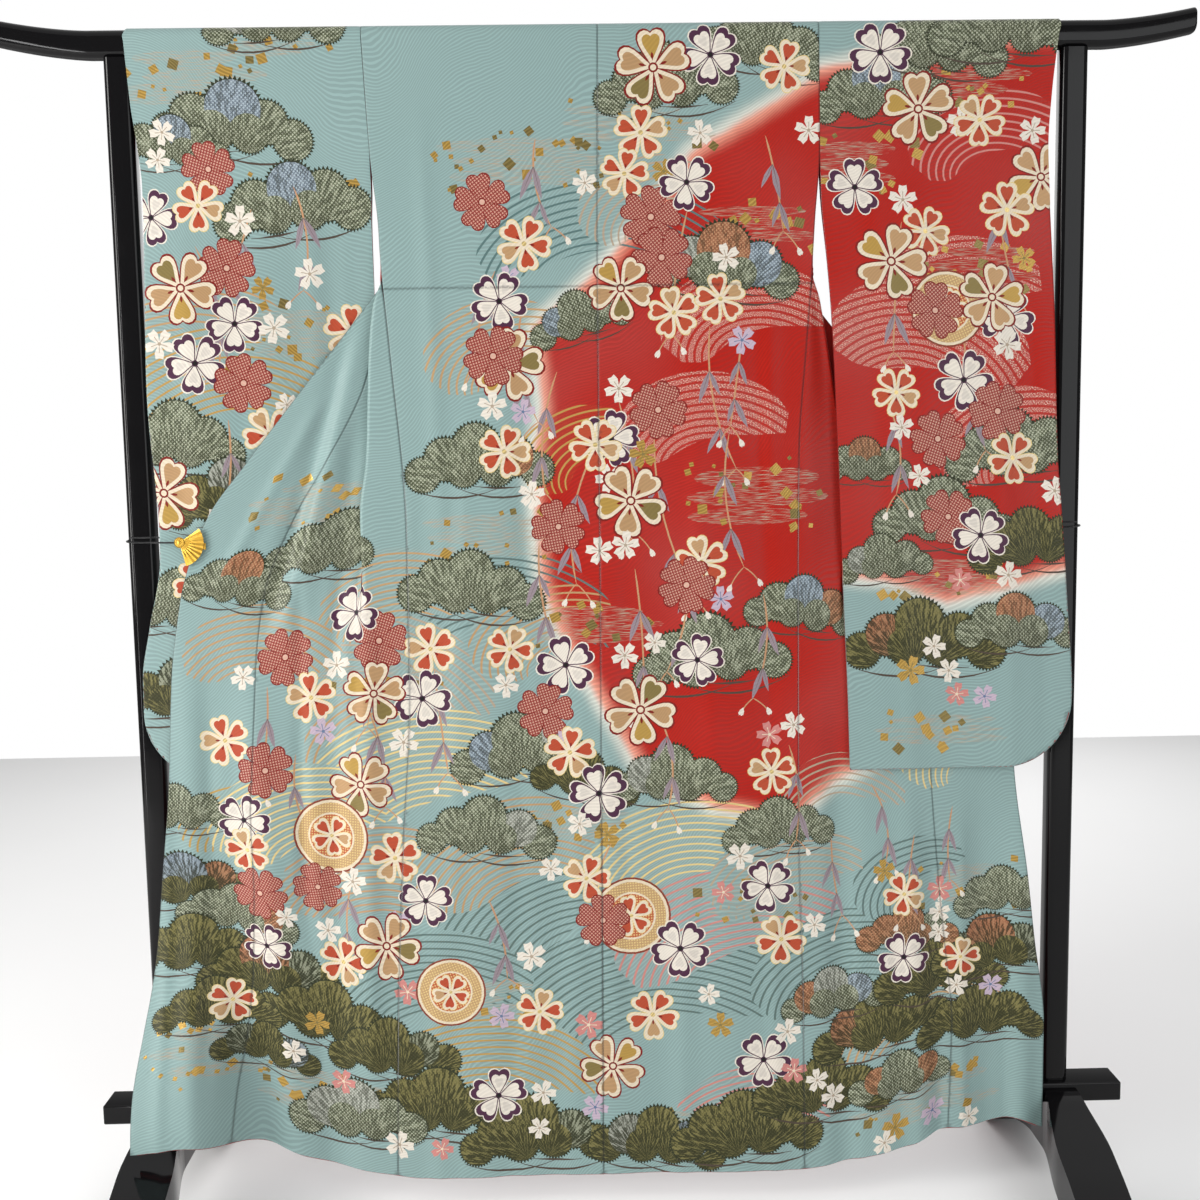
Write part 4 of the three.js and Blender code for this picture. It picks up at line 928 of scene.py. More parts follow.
def drooping_twig(design, start, length, lean, chance):
    """A thin hanging twig with leaves and buds."""
    end = (start[0] + lean, start[1] - length)
    line = bow(start, end, chance.uniform(-0.12, 0.12), 11)
    design.add(stroke_outline(line, 2.6, 0.1), srgb(186, 140, 104))
    for t in (0.35, 0.72):
        at = line[int(t * 10)]
        for spread in (chance.uniform(-0.5, -0.25), chance.uniform(0.2, 0.45)):
            leaf(design, at, chance.uniform(34, 52), math.pi + spread)
    for side in (-1, 1):
        tip = (end[0] + side * chance.uniform(14, 24), end[1] - chance.uniform(18, 34))
        design.add(stroke_outline(bow(end, tip, 0.06 * side), 1.8, 0.1), srgb(186, 140, 104))
        bud(design, tip, 8, math.pi + side * 0.4)


PINE_INKS = {
    "green": (PINE, PINE_DOT), "olive": (OLIVE_PINE, srgb(150, 142, 92)),
    "blue": (srgb(98, 110, 122), srgb(176, 190, 198)),
    "rust": (srgb(140, 84, 58), srgb(190, 148, 112)), "grey": (srgb(120, 124, 112), srgb(196, 198, 188))}
PINE_LOBES = [
    (-0.80, 0.10, 0.25), (0.82, 0.08, 0.24), (-0.46, 0.30, 0.30), (0.50, 0.28, 0.29), (-0.02, 0.44, 0.36),
    (-0.22, 0.14, 0.25), (0.25, 0.13, 0.25)]
PINE_TEETH = 78
PINE_SIZE = 1.14


def pine_clump(design, at, width, turn, tint, chance):
    """A clump of pine: fringed lobes over a thin branch. Their needles spread from low in the clump."""
    width *= PINE_SIZE
    lobes = [(dx, dy, radius * chance.uniform(0.94, 1.14)) for dx, dy, radius in PINE_LOBES]
    for low, high, sag in ((-0.98, 0.25, -0.10), (-0.35, 1.0, -0.12), (-0.1, 0.6, -0.03)):
        line = bow((low, -0.10), (high, -0.15), sag)
        design.add(moved(stroke_outline(line, 0.03, 0.4), at, turn, width), srgb(74, 62, 54))
    for dx, dy, radius in lobes:
        teeth = [(k * 2 * math.pi / PINE_TEETH, radius * (1.12 if k % 2 else 0.97))
                 for k in range(PINE_TEETH)]
        edge = [(dx + reach * math.sin(a), dy + reach * math.cos(a)) for a, reach in teeth]
        design.add(moved(edge, at, turn, width), PINE_DARK)
    for dx, dy, radius in lobes:
        own = tint if dy < 0.2 or chance.random() < 0.62 else chance.choice(["blue", "rust", "grey", "green"])
        ink, dot = PINE_INKS[own]
        own_middle = (dx * 0.62, dy * 0.2 - 0.12) if tint == "olive" else (dx * 0.25, -0.3)
        base = moved([own_middle], at, turn, width)[0]
        lobe = moved(disc(radius * 0.965, 24) + (dx, dy), at, turn, width)
        dots, needles = (0.5, 0.9) if tint == "olive" else (1.0, 0.62)
        design.add(lobe, ink, dot, at=tuple(base), turn=turn, dots=dots, needles=needles)


SWEEP = 42.0
SQUASH = 0.82


def wave_band(design, centre, radii, arc, ink, second):
    """A bundle of parallel curved strokes about a centre; arc is in degrees from straight up. Rose ones on
    the red ground are broad and speckled."""
    inner, outer = radii
    turns = np.radians(np.linspace(arc[0], arc[1], 15))
    ease = np.sin(np.linspace(0, math.pi, 15)) ** 0.5
    middle = (inner + outer) / 2
    far = lerp(middle, outer, ease) + SWEEP * turns
    near = lerp(middle, inner, ease) + SWEEP * turns
    edge = np.concatenate([
        np.stack([far * np.sin(turns), far * np.cos(turns)], axis=-1),
        np.stack([near * np.sin(turns), near * np.cos(turns)], axis=-1)[::-1]])
    design.add(edge * (1, SQUASH) + np.asarray(centre), ink, second, at=centre, lines=1.0, round_about=True,
               dots=1.0 if second is CREAM else 0.0)


FLAKES = 1.7


def mist(design, at, length, height, chance, flakes=8):
    """A drift of dry brush with squares of gold leaf."""
    for k in range(3):
        dx, dy = chance.uniform(-0.15, 0.15) * length, (k - 1) * height * 0.34
        reach, tall = length * chance.uniform(0.36, 0.52), height * chance.uniform(0.14, 0.22)
        turns = np.linspace(0, 2 * math.pi, 20, endpoint=False)
        edge = [(reach * math.cos(a), tall * math.sin(a)) for a in turns]
        design.add(moved(edge, (at[0] + dx, at[1] + dy), 0), GREY_BROWN, at=at, lines=2.0)
    for _ in range(int(flakes * FLAKES)):
        spot = (at[0] + chance.uniform(-0.55, 0.55) * length, at[1] + chance.uniform(-0.7, 0.7) * height)
        size, lean = chance.choice([4, 5, 7, 9, 11]) * 0.62, chance.uniform(0, 1.6)
        flake = moved([(-1, -1), (1, -1), (1, 1), (-1, 1)], spot, lean, size)
        design.add(flake, chance.choice([GOLD, GOLD, OLIVE]), foil=1.0)


BLOSSOMS = {"gilt": (gilt_blossom, 51), "violet": (violet_blossom, 42), "cream": (cream_blossom, 37),
            "kanoko": (kanoko_blossom, 41), "medallion": (medallion, 56)}
SMALL = 20


def blossom(design, kind, at, chance, scale=1.0):
    turn = chance.uniform(0, 2 * math.pi)
    if kind in SMALL_INKS:
        small_blossom(design, at, SMALL * scale * chance.uniform(0.85, 1.15), turn, kind)
    else:
        make, size = BLOSSOMS[kind]
        make(design, at, size * scale * chance.uniform(0.92, 1.06), turn)


def drift(design, start, end, spread, kinds, chance):
    """Blossoms strewn from start to end, none quite on another."""
    taken = []
    for k, kind in enumerate(kinds):
        reach = BLOSSOMS[kind][1] if kind in BLOSSOMS else SMALL
        for attempt in range(60):
            t = (k + chance.uniform(0.1, 0.9)) / len(kinds)
            at = (lerp(start[0], end[0], t) + chance.uniform(-spread, spread),
                  lerp(start[1], end[1], t) + chance.uniform(-spread, spread) * 0.8)
            apart = 0.86 if attempt < 30 else 0.7
            if all(math.dist(at, (x, y)) > (reach + other) * apart for x, y, other in taken):
                break
        taken.append((*at, reach))
        blossom(design, kind, at, chance)


# ---------------------------------------------------------------- the print: layout
G, V, C, K, M = "gilt", "violet", "cream", "kanoko", "medallion"
W, O, R, L = "white", "gold", "rose", "lilac"


def body_print():
    """The design that runs over the backs, fronts and overlaps. x is signed, out from the centre seam."""
    design, chance = Print(), random.Random(11)
    for centre, radii, arc, ink, second in [
        ((-40, 1310), (110, 250), (-60, 70), TEAL, srgb(130, 160, 150)),
        ((60, 1400), (60, 170), (-75, 40), GREY_BROWN, TAN),
        ((180, 1230), (60, 190), (-70, 60), ROSE, CREAM),
        ((-30, 1060), (60, 170), (-80, 30), GOLD, ROSE),
        ((-210, 800), (90, 240), (-60, 75), TEAL, TAN),
        ((-330, 640), (60, 200), (-80, 40), TAN, GOLD),
        ((-420, 700), (90, 260), (-20, 80), GREY_BROWN, TAN),
        ((-380, 380), (90, 260), (-50, 90), TAN, ROSE),
        ((-60, 330), (100, 290), (-85, 20), TEAL, GOLD),
        ((40, 180), (130, 330), (-70, 60), TEAL, GOLD),
        ((170, 300), (110, 280), (-70, 50), ROSE, TAN),
        ((330, 260), (80, 230), (-70, 70), TEAL, GOLD),
        ((-230, 120), (90, 230), (-40, 70), GOLD, ROSE),
        ((180, 60), (70, 190), (-60, 60), ROSE, GOLD),
        ((460, 420), (70, 170), (-80, 40), TEAL, TAN),
        ((-560, 520), (60, 170), (-60, 60), GOLD, TAN),
        ((310, 560), (60, 150), (-60, 70), GREY_BROWN, TAN),
        ((-290, 540), (90, 280), (-60, 50), PALE_GOLD, TAN),
        ((-150, 430), (80, 250), (-70, 50), TAN, GOLD),
        ((90, 430), (90, 240), (-60, 60), PALE_GOLD, TAN),
        ((250, 420), (70, 200), (-70, 50), GREY_BROWN, GOLD),
        ((-300, 240), (80, 240), (-60, 60), TEAL, GOLD),
        ((430, 170), (70, 210), (-60, 60), TAN, GOLD),
        ((-470, 500), (70, 230), (-70, 50), PALE_GOLD, TAN),
        ((-90, 790), (60, 190), (-80, 40), TAN, GOLD),
        ((-150, 1190), (60, 190), (-70, 40), TAN, PALE_GOLD),
        ((110, 1080), (60, 190), (-60, 60), ROSE, CREAM),
        ((-330, 830), (60, 200), (-60, 60), TAN, PALE_GOLD),
        ((560, 620), (60, 190), (-80, 30), PALE_GOLD, TAN),
        ((-560, 760), (60, 190), (-40, 70), TAN, GOLD),
    ]:
        wave_band(design, centre, radii, arc, ink, second)
    for at, length, height, flakes in [
        ((-90, 1530), 260, 60, 16), ((60, 1580), 200, 50, 9), ((190, 1060), 220, 80, 14),
        ((-30, 880), 170, 50, 8), ((-170, 1010), 190, 60, 10), ((-480, 1060), 190, 60, 10),
        ((-330, 800), 180, 50, 8), ((-60, 590), 170, 44, 8), ((-600, 200), 170, 80, 14),
        ((-430, 160), 200, 70, 10), ((200, 470), 190, 46, 8), ((470, 120), 200, 60, 10),
        ((560, 470), 160, 60, 8), ((230, 1440), 150, 50, 8), ((-200, 330), 170, 50, 8),
        ((90, 130), 150, 40, 6),
    ]:
        mist(design, at, length, height, chance, flakes)
    for at, width, turn, tint in [
        ((92, 1612), 84, 0.1, "green"), ((230, 1662), 78, -0.2, "green"), ((168, 1362), 88, -0.1, "green"),
        ((-28, 1298), 62, 0.3, "green"), ((-178, 1092), 88, 0.05, "green"), ((-196, 914), 86, -0.08, "green"),
        ((150, 806), 96, 0.12, "green"), ((282, 880), 74, -0.1, "green"), ((-128, 676), 84, 0.1, "green"),
        ((-40, 640), 66, -0.2, "olive"), ((92, 634), 76, 0.0, "green"), ((-184, 560), 84, -0.05, "green"),
        ((248, 560), 72, 0.1, "green"), ((-432, 976), 84, 0.1, "green"), ((-560, 930), 70, -0.1, "green"),
        ((-640, 470), 84, 0.1, "olive"), ((-570, 420), 80, -0.1, "green"), ((-636, 350), 92, 0.0, "olive"),
        ((-520, 320), 92, 0.15, "olive"), ((-430, 262), 96, -0.1, "olive"), ((-596, 252), 80, 0.1, "olive"),
        ((-330, 226), 84, 0.05, "olive"), ((-262, 142), 92, -0.05, "olive"), ((-380, 118), 84, 0.1, "green"),
        ((-118, 94), 96, 0.05, "olive"), ((60, 84), 84, -0.1, "olive"), ((196, 96), 96, 0.08, "olive"),
        ((312, 150), 90, -0.08, "olive"), ((404, 236), 92, 0.1, "olive"), ((330, 300), 70, 0.1, "green"),
        ((498, 300), 88, -0.1, "olive"), ((592, 330), 88, 0.1, "olive"), ((556, 212), 84, 0.0, "olive"),
        ((450, 386), 70, -0.1, "rust"), ((620, 430), 76, 0.1, "green"), ((-640, 600), 70, 0.0, "green"),
        ((432, 150), 66, 0.0, "green"), ((-520, 196), 66, 0.0, "olive"),
    ]:
        pine_clump(design, at, width, turn, tint, chance)
    for start, length, lean in [
        ((20, 1200), 190, 22), ((70, 1160), 250, 60), ((150, 1300), 200, 36), ((196, 1290), 130, -18),
        ((-66, 1240), 170, -20), ((110, 980), 170, -26), ((40, 960), 200, 10), ((-150, 1380), 130, -26),
        ((-330, 900), 160, -20), ((-250, 820), 150, 16), ((-460, 700), 150, 30), ((230, 1560), 130, 24),
        ((0, 560), 120, -20), ((260, 700), 140, 10), ((400, 640), 120, 20), ((540, 600), 120, -14),
        ((-180, 480), 120, 24), ((-380, 520), 130, -10), ((-110, 1340), 170, 16), ((-20, 1120), 180, -24),
        ((176, 1150), 190, 20), ((224, 920), 150, -16), ((-96, 1000), 150, 20), ((-350, 770), 150, 22),
        ((-500, 800), 150, -18), ((66, 760), 150, 18), ((330, 560), 120, 16), ((470, 560), 120, -16),
        ((-90, 1560), 120, 20), ((120, 1460), 170, -24),
    ]:
        drooping_twig(design, start, length, lean, chance)
    for start, end, spread, kinds in [
        ((150, 1690), (80, 1560), 56, [V, G, C, W]),
        ((250, 1650), (290, 1540), 26, [C, W]),
        ((60, 1560), (10, 1440), 46, [C, O, K, W]),
        ((-140, 1480), (-110, 1390), 40, [K, C, L]),
        ((80, 1500), (60, 1340), 46, [V, K, G, C]),
        ((-160, 1330), (-120, 1180), 44, [V, G, K, W, L]),
        ((20, 1280), (40, 1120), 56, [W, K, V, O, W]),
        ((170, 1420), (210, 1300), 40, [W, C, L]),
        ((-130, 1150), (-100, 1040), 40, [C, W, K]),
        ((10, 1110), (30, 960), 50, [C, G, W, W]),
        ((130, 1010), (150, 930), 30, [C, L]),
        ((60, 930), (90, 760), 56, [K, W, V, W, G]),
        ((-160, 900), (-70, 720), 50, [C, W, V, K, L]),
        ((230, 780), (270, 640), 30, [W, R, C]),
        ((-60, 700), (-20, 560), 46, [C, V, O, W]),
        ((-300, 900), (-260, 720), 40, [K, C, V, W]),
        ((-430, 900), (-370, 700), 60, [V, K, C, W, G, L]),
        ((-520, 830), (-560, 620), 44, [W, C, K, V]),
        ((-380, 640), (-300, 480), 60, [G, M, C, W, V, L]),
        ((-540, 560), (-470, 420), 50, [C, K, W, V]),
        ((-440, 480), (-300, 330), 56, [K, W, C, G, R]),
        ((-40, 520), (70, 420), 54, [W, M, C, K, V]),
        ((170, 560), (300, 420), 50, [W, R, V, W, C]),
        ((-220, 400), (-60, 240), 70, [M, W, C, L, R, G]),
        ((80, 360), (210, 220), 60, [W, C, O, V, W]),
        ((-200, 200), (-20, 130), 40, [V, W, W, L]),
        ((380, 520), (520, 440), 46, [O, C, R, W]),
        ((430, 420), (560, 260), 50, [V, W, C, W, L]),
        ((250, 220), (420, 100), 46, [W, R, W, O]),
        ((-590, 330), (-440, 200), 60, [C, W, O, R]),
        ((-330, 120), (-240, 90), 20, [W, R]),
        ((360, 60), (560, 80), 26, [W, L, W]),
    ]:
        drift(design, start, end, spread, kinds, chance)
    return design


def sleeve_print(side):
    """A sleeve's flat pattern starts at its inner edge; heights run on over the rail and down behind."""
    design, chance = Print(), random.Random(23 if side == "left" else 37)
    back = 2 * SHOULDER
    if side == "left":
        waves = [((220, 1180), (60, 230), (-80, 60), TAN, GOLD),
                 ((150, 1110), (90, 250), (-30, 80), GOLD, ROSE),
                 ((90, 820), (60, 190), (-60, 60), TEAL, TAN),
                 ((200, back - 1200), (80, 220), (-60, 60), TAN, GOLD)]
        mists = [((240, 1650), 190, 70, 12), ((110, 1300), 170, 60, 10), ((90, 1490), 150, 40, 6),
                 ((120, 1690), 150, 30, 5), ((160, back - 1400), 200, 60, 10)]
        pines = [((190, 1560), 92, 0.1, "green"), ((110, 1452), 92, -0.1, "green"),
                 ((276, 1540), 66, 0.1, "green"), ((118, 1706), 80, 0.0, "green"),
                 ((290, 1130), 84, 0.1, "green"), ((210, 1050), 88, -0.1, "olive"),
                 ((300, 900), 80, 0.1, "green"), ((270, 770), 84, 0.0, "olive"),
                 ((120, 720), 90, 0.1, "green"), ((150, back - 1300), 92, math.pi, "green"),
                 ((200, back - 900), 90, math.pi, "olive")]
        drifts = [((250, 1640), (270, 1500), 40, [W, K, W]), ((280, 1500), (160, 1420), 46, [V, C, W]),
                  ((250, 1420), (180, 1290), 54, [K, G, V, O, W]), ((100, 1400), (60, 1300), 30, [W, C]),
                  ((290, 1320), (230, 1200), 40, [V, W, O]), ((190, 1250), (130, 1150), 44, [K, C, W]),
                  ((280, 1080), (200, 900), 54, [G, W, C, K]), ((100, 1000), (200, 760), 60, [V, W, C, L, O]),
                  ((160, back - 1500), (180, back - 1150), 70, [G, W, C, K, V, W])]
        twigs = [((250, 1420), 170, -30), ((170, 1470), 150, 40), ((110, 1500), 140, -10),
                 ((210, 1180), 150, 20)]
    else:
        waves = [((170, 1250), (70, 210), (-80, 50), ROSE, CREAM),
                 ((60, 1180), (60, 230), (-30, 80), ROSE, CREAM),
                 ((210, 1480), (50, 170), (-70, 70), ROSE, TAN),
                 ((250, 1060), (60, 190), (-80, 40), ROSE, CREAM),
                 ((180, back - 1200), (80, 220), (-60, 60), ROSE, GOLD)]
        mists = [((180, 1640), 190, 60, 10), ((60, 1520), 150, 60, 10), ((220, 1380), 170, 50, 8),
                 ((160, 940), 190, 50, 8), ((150, 720), 190, 40, 8), ((160, back - 1400), 200, 60, 10)]
        pines = [((84, 1596), 82, 0.1, "green"), ((160, 1660), 78, -0.1, "green"),
                 ((256, 1680), 92, 0.0, "green"), ((262, 1100), 88, 0.1, "green"),
                 ((150, 1002), 88, -0.05, "green"), ((280, 968), 80, 0.1, "olive"),
                 ((60, 950), 60, 0.1, "green"), ((110, 826), 96, 0.0, "olive"),
                 ((248, 850), 76, 0.0, "green"), ((40, 1090), 56, 0.0, "green"),
                 ((150, back - 1300), 92, math.pi, "green"), ((200, back - 900), 90, math.pi, "olive")]
        drifts = [((90, 1690), (190, 1560), 44, [V, G, W]), ((250, 1600), (290, 1500), 34, [C, W, G]),
                  ((60, 1480), (130, 1400), 36, [V, W, C]), ((240, 1480), (280, 1400), 30, [C, O]),
                  ((70, 1370), (220, 1330), 44, [G, M, K, V]), ((260, 1330), (180, 1220), 44, [G, W, V]),
                  ((60, 1240), (120, 1120), 44, [C, W, K]), ((230, 1180), (290, 1060), 40, [K, C, W]),
                  ((130, 1080), (220, 1040), 40, [W, K]), ((230, 1000), (200, 900), 40, [V, W, R]),
                  ((60, 860), (250, 760), 60, [W, O, R, W, L]),
                  ((160, back - 1500), (180, back - 1150), 70, [G, W, C, K, V, W])]
        twigs = [((250, 1490), 160, 20), ((110, 1440), 180, -24), ((190, 1290), 170, 26),
                 ((70, 1200), 140, 12)]
    for wave in waves:
        wave_band(design, *wave)
    for at, length, height, flakes in mists:
        mist(design, at, length, height, chance, flakes)
    for at, width, turn, tint in pines:
        pine_clump(design, at, width, turn, tint, chance)
    for twig in twigs:
        drooping_twig(design, *twig, chance)
    for start, end, spread, kinds in drifts:
        drift(design, start, end, spread, kinds, chance)
    return design


# The red ground: outlines on the body's layout and the sleeves', with the width of their soft edges.
RED_BODY = np.array([
    (330, 1655), (215, 1590), (125, 1540), (66, 1455), (-2, 1385), (-98, 1300), (-88, 1190), (-106, 1105),
    (-90, 925), (-58, 845), (-14, 772), (44, 668), (150, 612), (262, 585), (330, 640), (470, 700), (900, 740),
    (900, 1800), (560, 1800), (420, 1700)])
RED_SLEEVE = np.array([
    (-60, 950), (60, 938), (150, 902), (250, 930), (390, 966), (390, 1700), (190, 1684), (60, 1662),
    (-60, 1640)])
SOFT_EDGE = {"body": 64, "sleeve": 60}


def distance_inside(points, outline):
    """How far each point is inside an outline; outside is negative."""
    best = np.full(len(points), 1e9)
    within = np.zeros(len(points), dtype=bool)
    for a, b in zip(outline, np.roll(outline, -1, axis=0)):
        along = b - a
        t = np.clip(((points - a) @ along) / (along @ along), 0, 1)
        best = np.minimum(best, np.linalg.norm(points - a - t[:, None] * along, axis=1))
        straddles = (a[1] > points[:, 1]) != (b[1] > points[:, 1])
        at_x = a[0] + (points[:, 1] - a[1]) * along[0] / (along[1] if along[1] else 1e-9)
        within ^= straddles & (points[:, 0] < at_x)
    return np.where(within, best, -best)


def body_dye(points):
    return smooth(distance_inside(points, RED_BODY) / SOFT_EDGE["body"] + 0.5)


def sleeve_dye(side):
    if side == "left":
        return lambda points: np.zeros(len(points))

    def dye(points):
        folded = points.copy()
        folded[:, 1] = np.where(points[:, 1] > SHOULDER, 2 * SHOULDER - points[:, 1], points[:, 1])
        return smooth(distance_inside(folded, RED_SLEEVE) / SOFT_EDGE["sleeve"] + 0.5)
    return dye


# ---------------------------------------------------------------- cloth pieces
WALL = 1.3
SPACING = 8
LINING_SPACING = 9
MERGE = 0.02
SLIM_STEP = 0.4
BEND_REACH = 0.8
BEND_SHARE = 0.35


def inside(points, outline):
    """Which points lie in an outline."""
    found = np.zeros(len(points), dtype=bool)
    near = np.flatnonzero(np.all((points > outline.min(axis=0)) & (points < outline.max(axis=0)), axis=1))
    x, y = points[near].T
    crossed = np.zeros(len(near), dtype=bool)
    for (ax, ay), (bx, by) in zip(outline, np.roll(outline, -1, axis=0)):
        if ay != by:
            crossed ^= ((ay > y) != (by > y)) & (x < ax + (y - ay) * (bx - ax) / (by - ay))
    found[near] = crossed
    return found


def triangulate(outline, grid, shapes):
    """Triangles over the outline, and the topmost shape that each lies in, -1 on bare cloth."""
    points = [*outline, *grid]
    edges = [(i, (i + 1) % len(outline)) for i in range(len(outline))]
    for shape in shapes:
        first, count = len(points), len(shape["outline"])
        points.extend(shape["outline"])
        edges.extend((first + i, first + (i + 1) % count) for i in range(count))
    found, _, made, _, _, _ = delaunay_2d_cdt([Vector(p) for p in points], edges, [], 0, MERGE, False)
    flat = np.array([(p.x, p.y) for p in found])
    triangles = np.array(made)
    triangles = triangles[inside(flat[triangles].mean(axis=1), outline)]
    a, b, c = (flat[triangles[:, k]] for k in range(3))
    turned = (b - a)[:, 0] * (c - a)[:, 1] - (b - a)[:, 1] * (c - a)[:, 0]
    triangles[turned < 0] = triangles[turned < 0][:, ::-1]
    used, renumbered = np.unique(triangles, return_inverse=True)
    flat, triangles = flat[used], renumbered.reshape(triangles.shape)
    tops = np.full(len(triangles), -1)
    centres = flat[triangles].mean(axis=1)
    for index, shape in enumerate(shapes):
        tops[inside(centres, shape["outline"])] = index
    return flat, triangles, tops


def rim_of(triangles):
    """The outer edge of the triangles, as one loop of points in order."""
    pairs = np.concatenate([triangles[:, [0, 1]], triangles[:, [1, 2]], triangles[:, [2, 0]]]).tolist()
    both = {(a, b) for a, b in pairs}
    onward = {a: b for a, b in pairs if (b, a) not in both}
    loop = [min(onward)]
    while onward[loop[-1]] != loop[0]:
        loop.append(onward[loop[-1]])
    return loop


def surface_normals(place, flat, flip):
    step = SLIM_STEP
    du = place(flat[:, 0] + step, flat[:, 1]) - place(flat[:, 0] - step, flat[:, 1])
    dv = place(flat[:, 0], flat[:, 1] + step) - place(flat[:, 0], flat[:, 1] - step)
    normal = np.cross(du, dv) * (-1 if flip else 1)
    return normal / np.maximum(np.linalg.norm(normal, axis=1)[:, None], 1e-9)


def lining_depth(place, flat, flip):
    """How far the lining lies behind the face: a wall's thickness, or less inside a tight bend."""
    ahead, behind = flat + (BEND_REACH, 0), flat - (BEND_REACH, 0)
    turned = surface_normals(place, ahead, flip) - surface_normals(place, behind, flip)
    turned = np.linalg.norm(turned, axis=1)
    passed = np.linalg.norm(place(*ahead.T) - place(*behind.T), axis=1)
    return np.minimum(WALL, BEND_SHARE * passed / np.maximum(turned, 1e-6))[:, None]


def motif_place(flat, shape):
    """Where points lie in a motif's own millimetres; a bundle of curved strokes runs round its centre."""
    away = flat - np.asarray(shape["at"])
    if shape["round"]:
        away = away / (1, SQUASH)
        turned = np.arctan2(away[..., 0], away[..., 1])
        return np.stack([turned * 200, np.linalg.norm(away, axis=-1) - SWEEP * turned], axis=-1)
    c, s = math.cos(shape["turn"]), math.sin(shape["turn"])
    return away @ np.array([[c, -s], [s, c]])


def cloth_shell(name, place, outline, grid, lining_grid, materials, design, dye, sewn=None, flip=False):
    """A piece of lined cloth: its printed face, its lining a wall's thickness behind, and the edge."""
    outline = np.asarray(outline, dtype=float)
    shapes = design.near(outline.min(axis=0), outline.max(axis=0)) if design else []
    face_flat, face_triangles, tops = triangulate(outline, grid, shapes)
    loop = rim_of(face_triangles)
    lining_flat, lining_triangles, _ = triangulate(face_flat[loop], lining_grid, [])
    lining_loop = rim_of(lining_triangles)
    nearest = {tuple(np.round(p, 3)): i for i, p in enumerate(lining_flat)}
    inner_loop = [nearest[tuple(np.round(face_flat[i], 3))] for i in loop]
    assert sorted(inner_loop) == sorted(lining_loop), name + ": the lining's edge isn't the face's"
    face_normals = surface_normals(place, face_flat, flip)
    lining_normals = surface_normals(place, lining_flat, flip)
    count = len(face_flat)
    flat = np.concatenate([face_flat, lining_flat])
    points = np.concatenate([
        place(face_flat[:, 0], face_flat[:, 1]),
        place(*lining_flat.T) - lining_normals * lining_depth(place, lining_flat, flip)]) * MM
    a, b = np.array(loop), np.roll(loop, -1)
    c, d = np.array(inner_loop) + count, np.roll(inner_loop, -1) + count
    rim = np.concatenate([np.stack([a, c, d], axis=1), np.stack([a, d, b], axis=1)])
    triangles = np.concatenate([face_triangles, lining_triangles[:, ::-1] + count, rim])
    if flip:
        triangles = triangles[:, ::-1]
    part = np.repeat([0, 1, 2], [len(face_triangles), len(lining_triangles), len(rim)])
    normals = np.concatenate([face_normals, -lining_normals])[triangles]
    corners = points[triangles[part == 2]]
    side = np.cross(corners[:, 1] - corners[:, 0], corners[:, 2] - corners[:, 0])
    normals[part == 2] = (side / np.maximum(np.linalg.norm(side, axis=1), 1e-12)[:, None])[:, None, :]

    mesh = bpy.data.meshes.new(name)
    mesh.vertices.add(len(points))
    mesh.vertices.foreach_set("co", points.ravel())
    mesh.loops.add(triangles.size)
    mesh.loops.foreach_set("vertex_index", triangles.ravel())
    mesh.polygons.add(len(triangles))
    mesh.polygons.foreach_set("loop_start", np.arange(len(triangles)) * 3)
    mesh.update(calc_edges=True)
    for material in materials:
        mesh.materials.append(material)
    mesh.polygons.foreach_set("material_index", (part == 1).astype(np.int32))
    put_layer(mesh, "dye", "FLOAT", "POINT", dye(flat))
    put_layer(mesh, "sewn", "FLOAT", "POINT", sewn(flat) if sewn else np.zeros(len(flat)))
    put_uv(mesh, "cloth", flat[triangles] * MM)
    if shapes:
        bare = np.full(len(triangles) - len(tops), -1)
        paint_shapes(mesh, flat[triangles], np.concatenate([tops, bare]), shapes)
    mesh.normals_split_custom_set(normals.reshape(-1, 3))
    piece = bpy.data.objects.new(name, mesh)
    bpy.context.scene.collection.objects.link(piece)
    return piece


def put_layer(mesh, name, kind, domain, values):
    layer = mesh.attributes.new(name, kind, domain)
    field = "color" if kind == "FLOAT_COLOR" else "value"
    layer.data.foreach_set(field, np.asarray(values, dtype=np.float32).ravel())


def put_uv(mesh, name, values):
    layer = mesh.uv_layers.new(name=name)
    layer.uv.foreach_set("vector", np.asarray(values, dtype=np.float32).ravel())


def paint_shapes(mesh, corners, tops, shapes):
    """Give each face the ink and pattern of the topmost shape that it lies in."""
    inked = tops >= 0
    motif = np.zeros_like(corners)
    for index in np.unique(tops[inked]):
        motif[tops == index] = motif_place(corners[tops == index], shapes[index])
    put_uv(mesh, "motif", motif)
    for key in ("ink", "second"):
        colours = np.array([(*shape[key], 1.0) for shape in shapes])
        put_layer(mesh, key, "FLOAT_COLOR", "FACE", np.where(inked[:, None], colours[tops], 0))
    put_layer(mesh, "cover", "FLOAT", "FACE", inked)
    for key in FILLS:
        weights = np.array([shape[key] for shape in shapes], dtype=float)
        put_layer(mesh, key, "FLOAT", "FACE", np.where(inked, weights[tops], 0))


def steps(low, high, spacing):
    """Even stations from low to high, both included."""
    return np.linspace(low, high, max(2, int(math.ceil((high - low) / spacing)) + 1))


def rows_between(low, high, spacing):
    """Rows of cloth, closer together at the tuck and over the rail."""
    marks = [low, TUCK - 24, TUCK - 4, TUCK + 4, TUCK + 40, SPRING - 1, high]
    gaps = [spacing, 4, 1.2, 4, spacing, 2.2]
    rows = []
    for a, b, gap in zip(marks, marks[1:], gaps):
        a, b = np.clip([a, b], low, high)
        if b - a > 0.5:
            rows.extend(steps(a, b, min(gap, spacing))[:-1])
    return np.array(rows + [high])


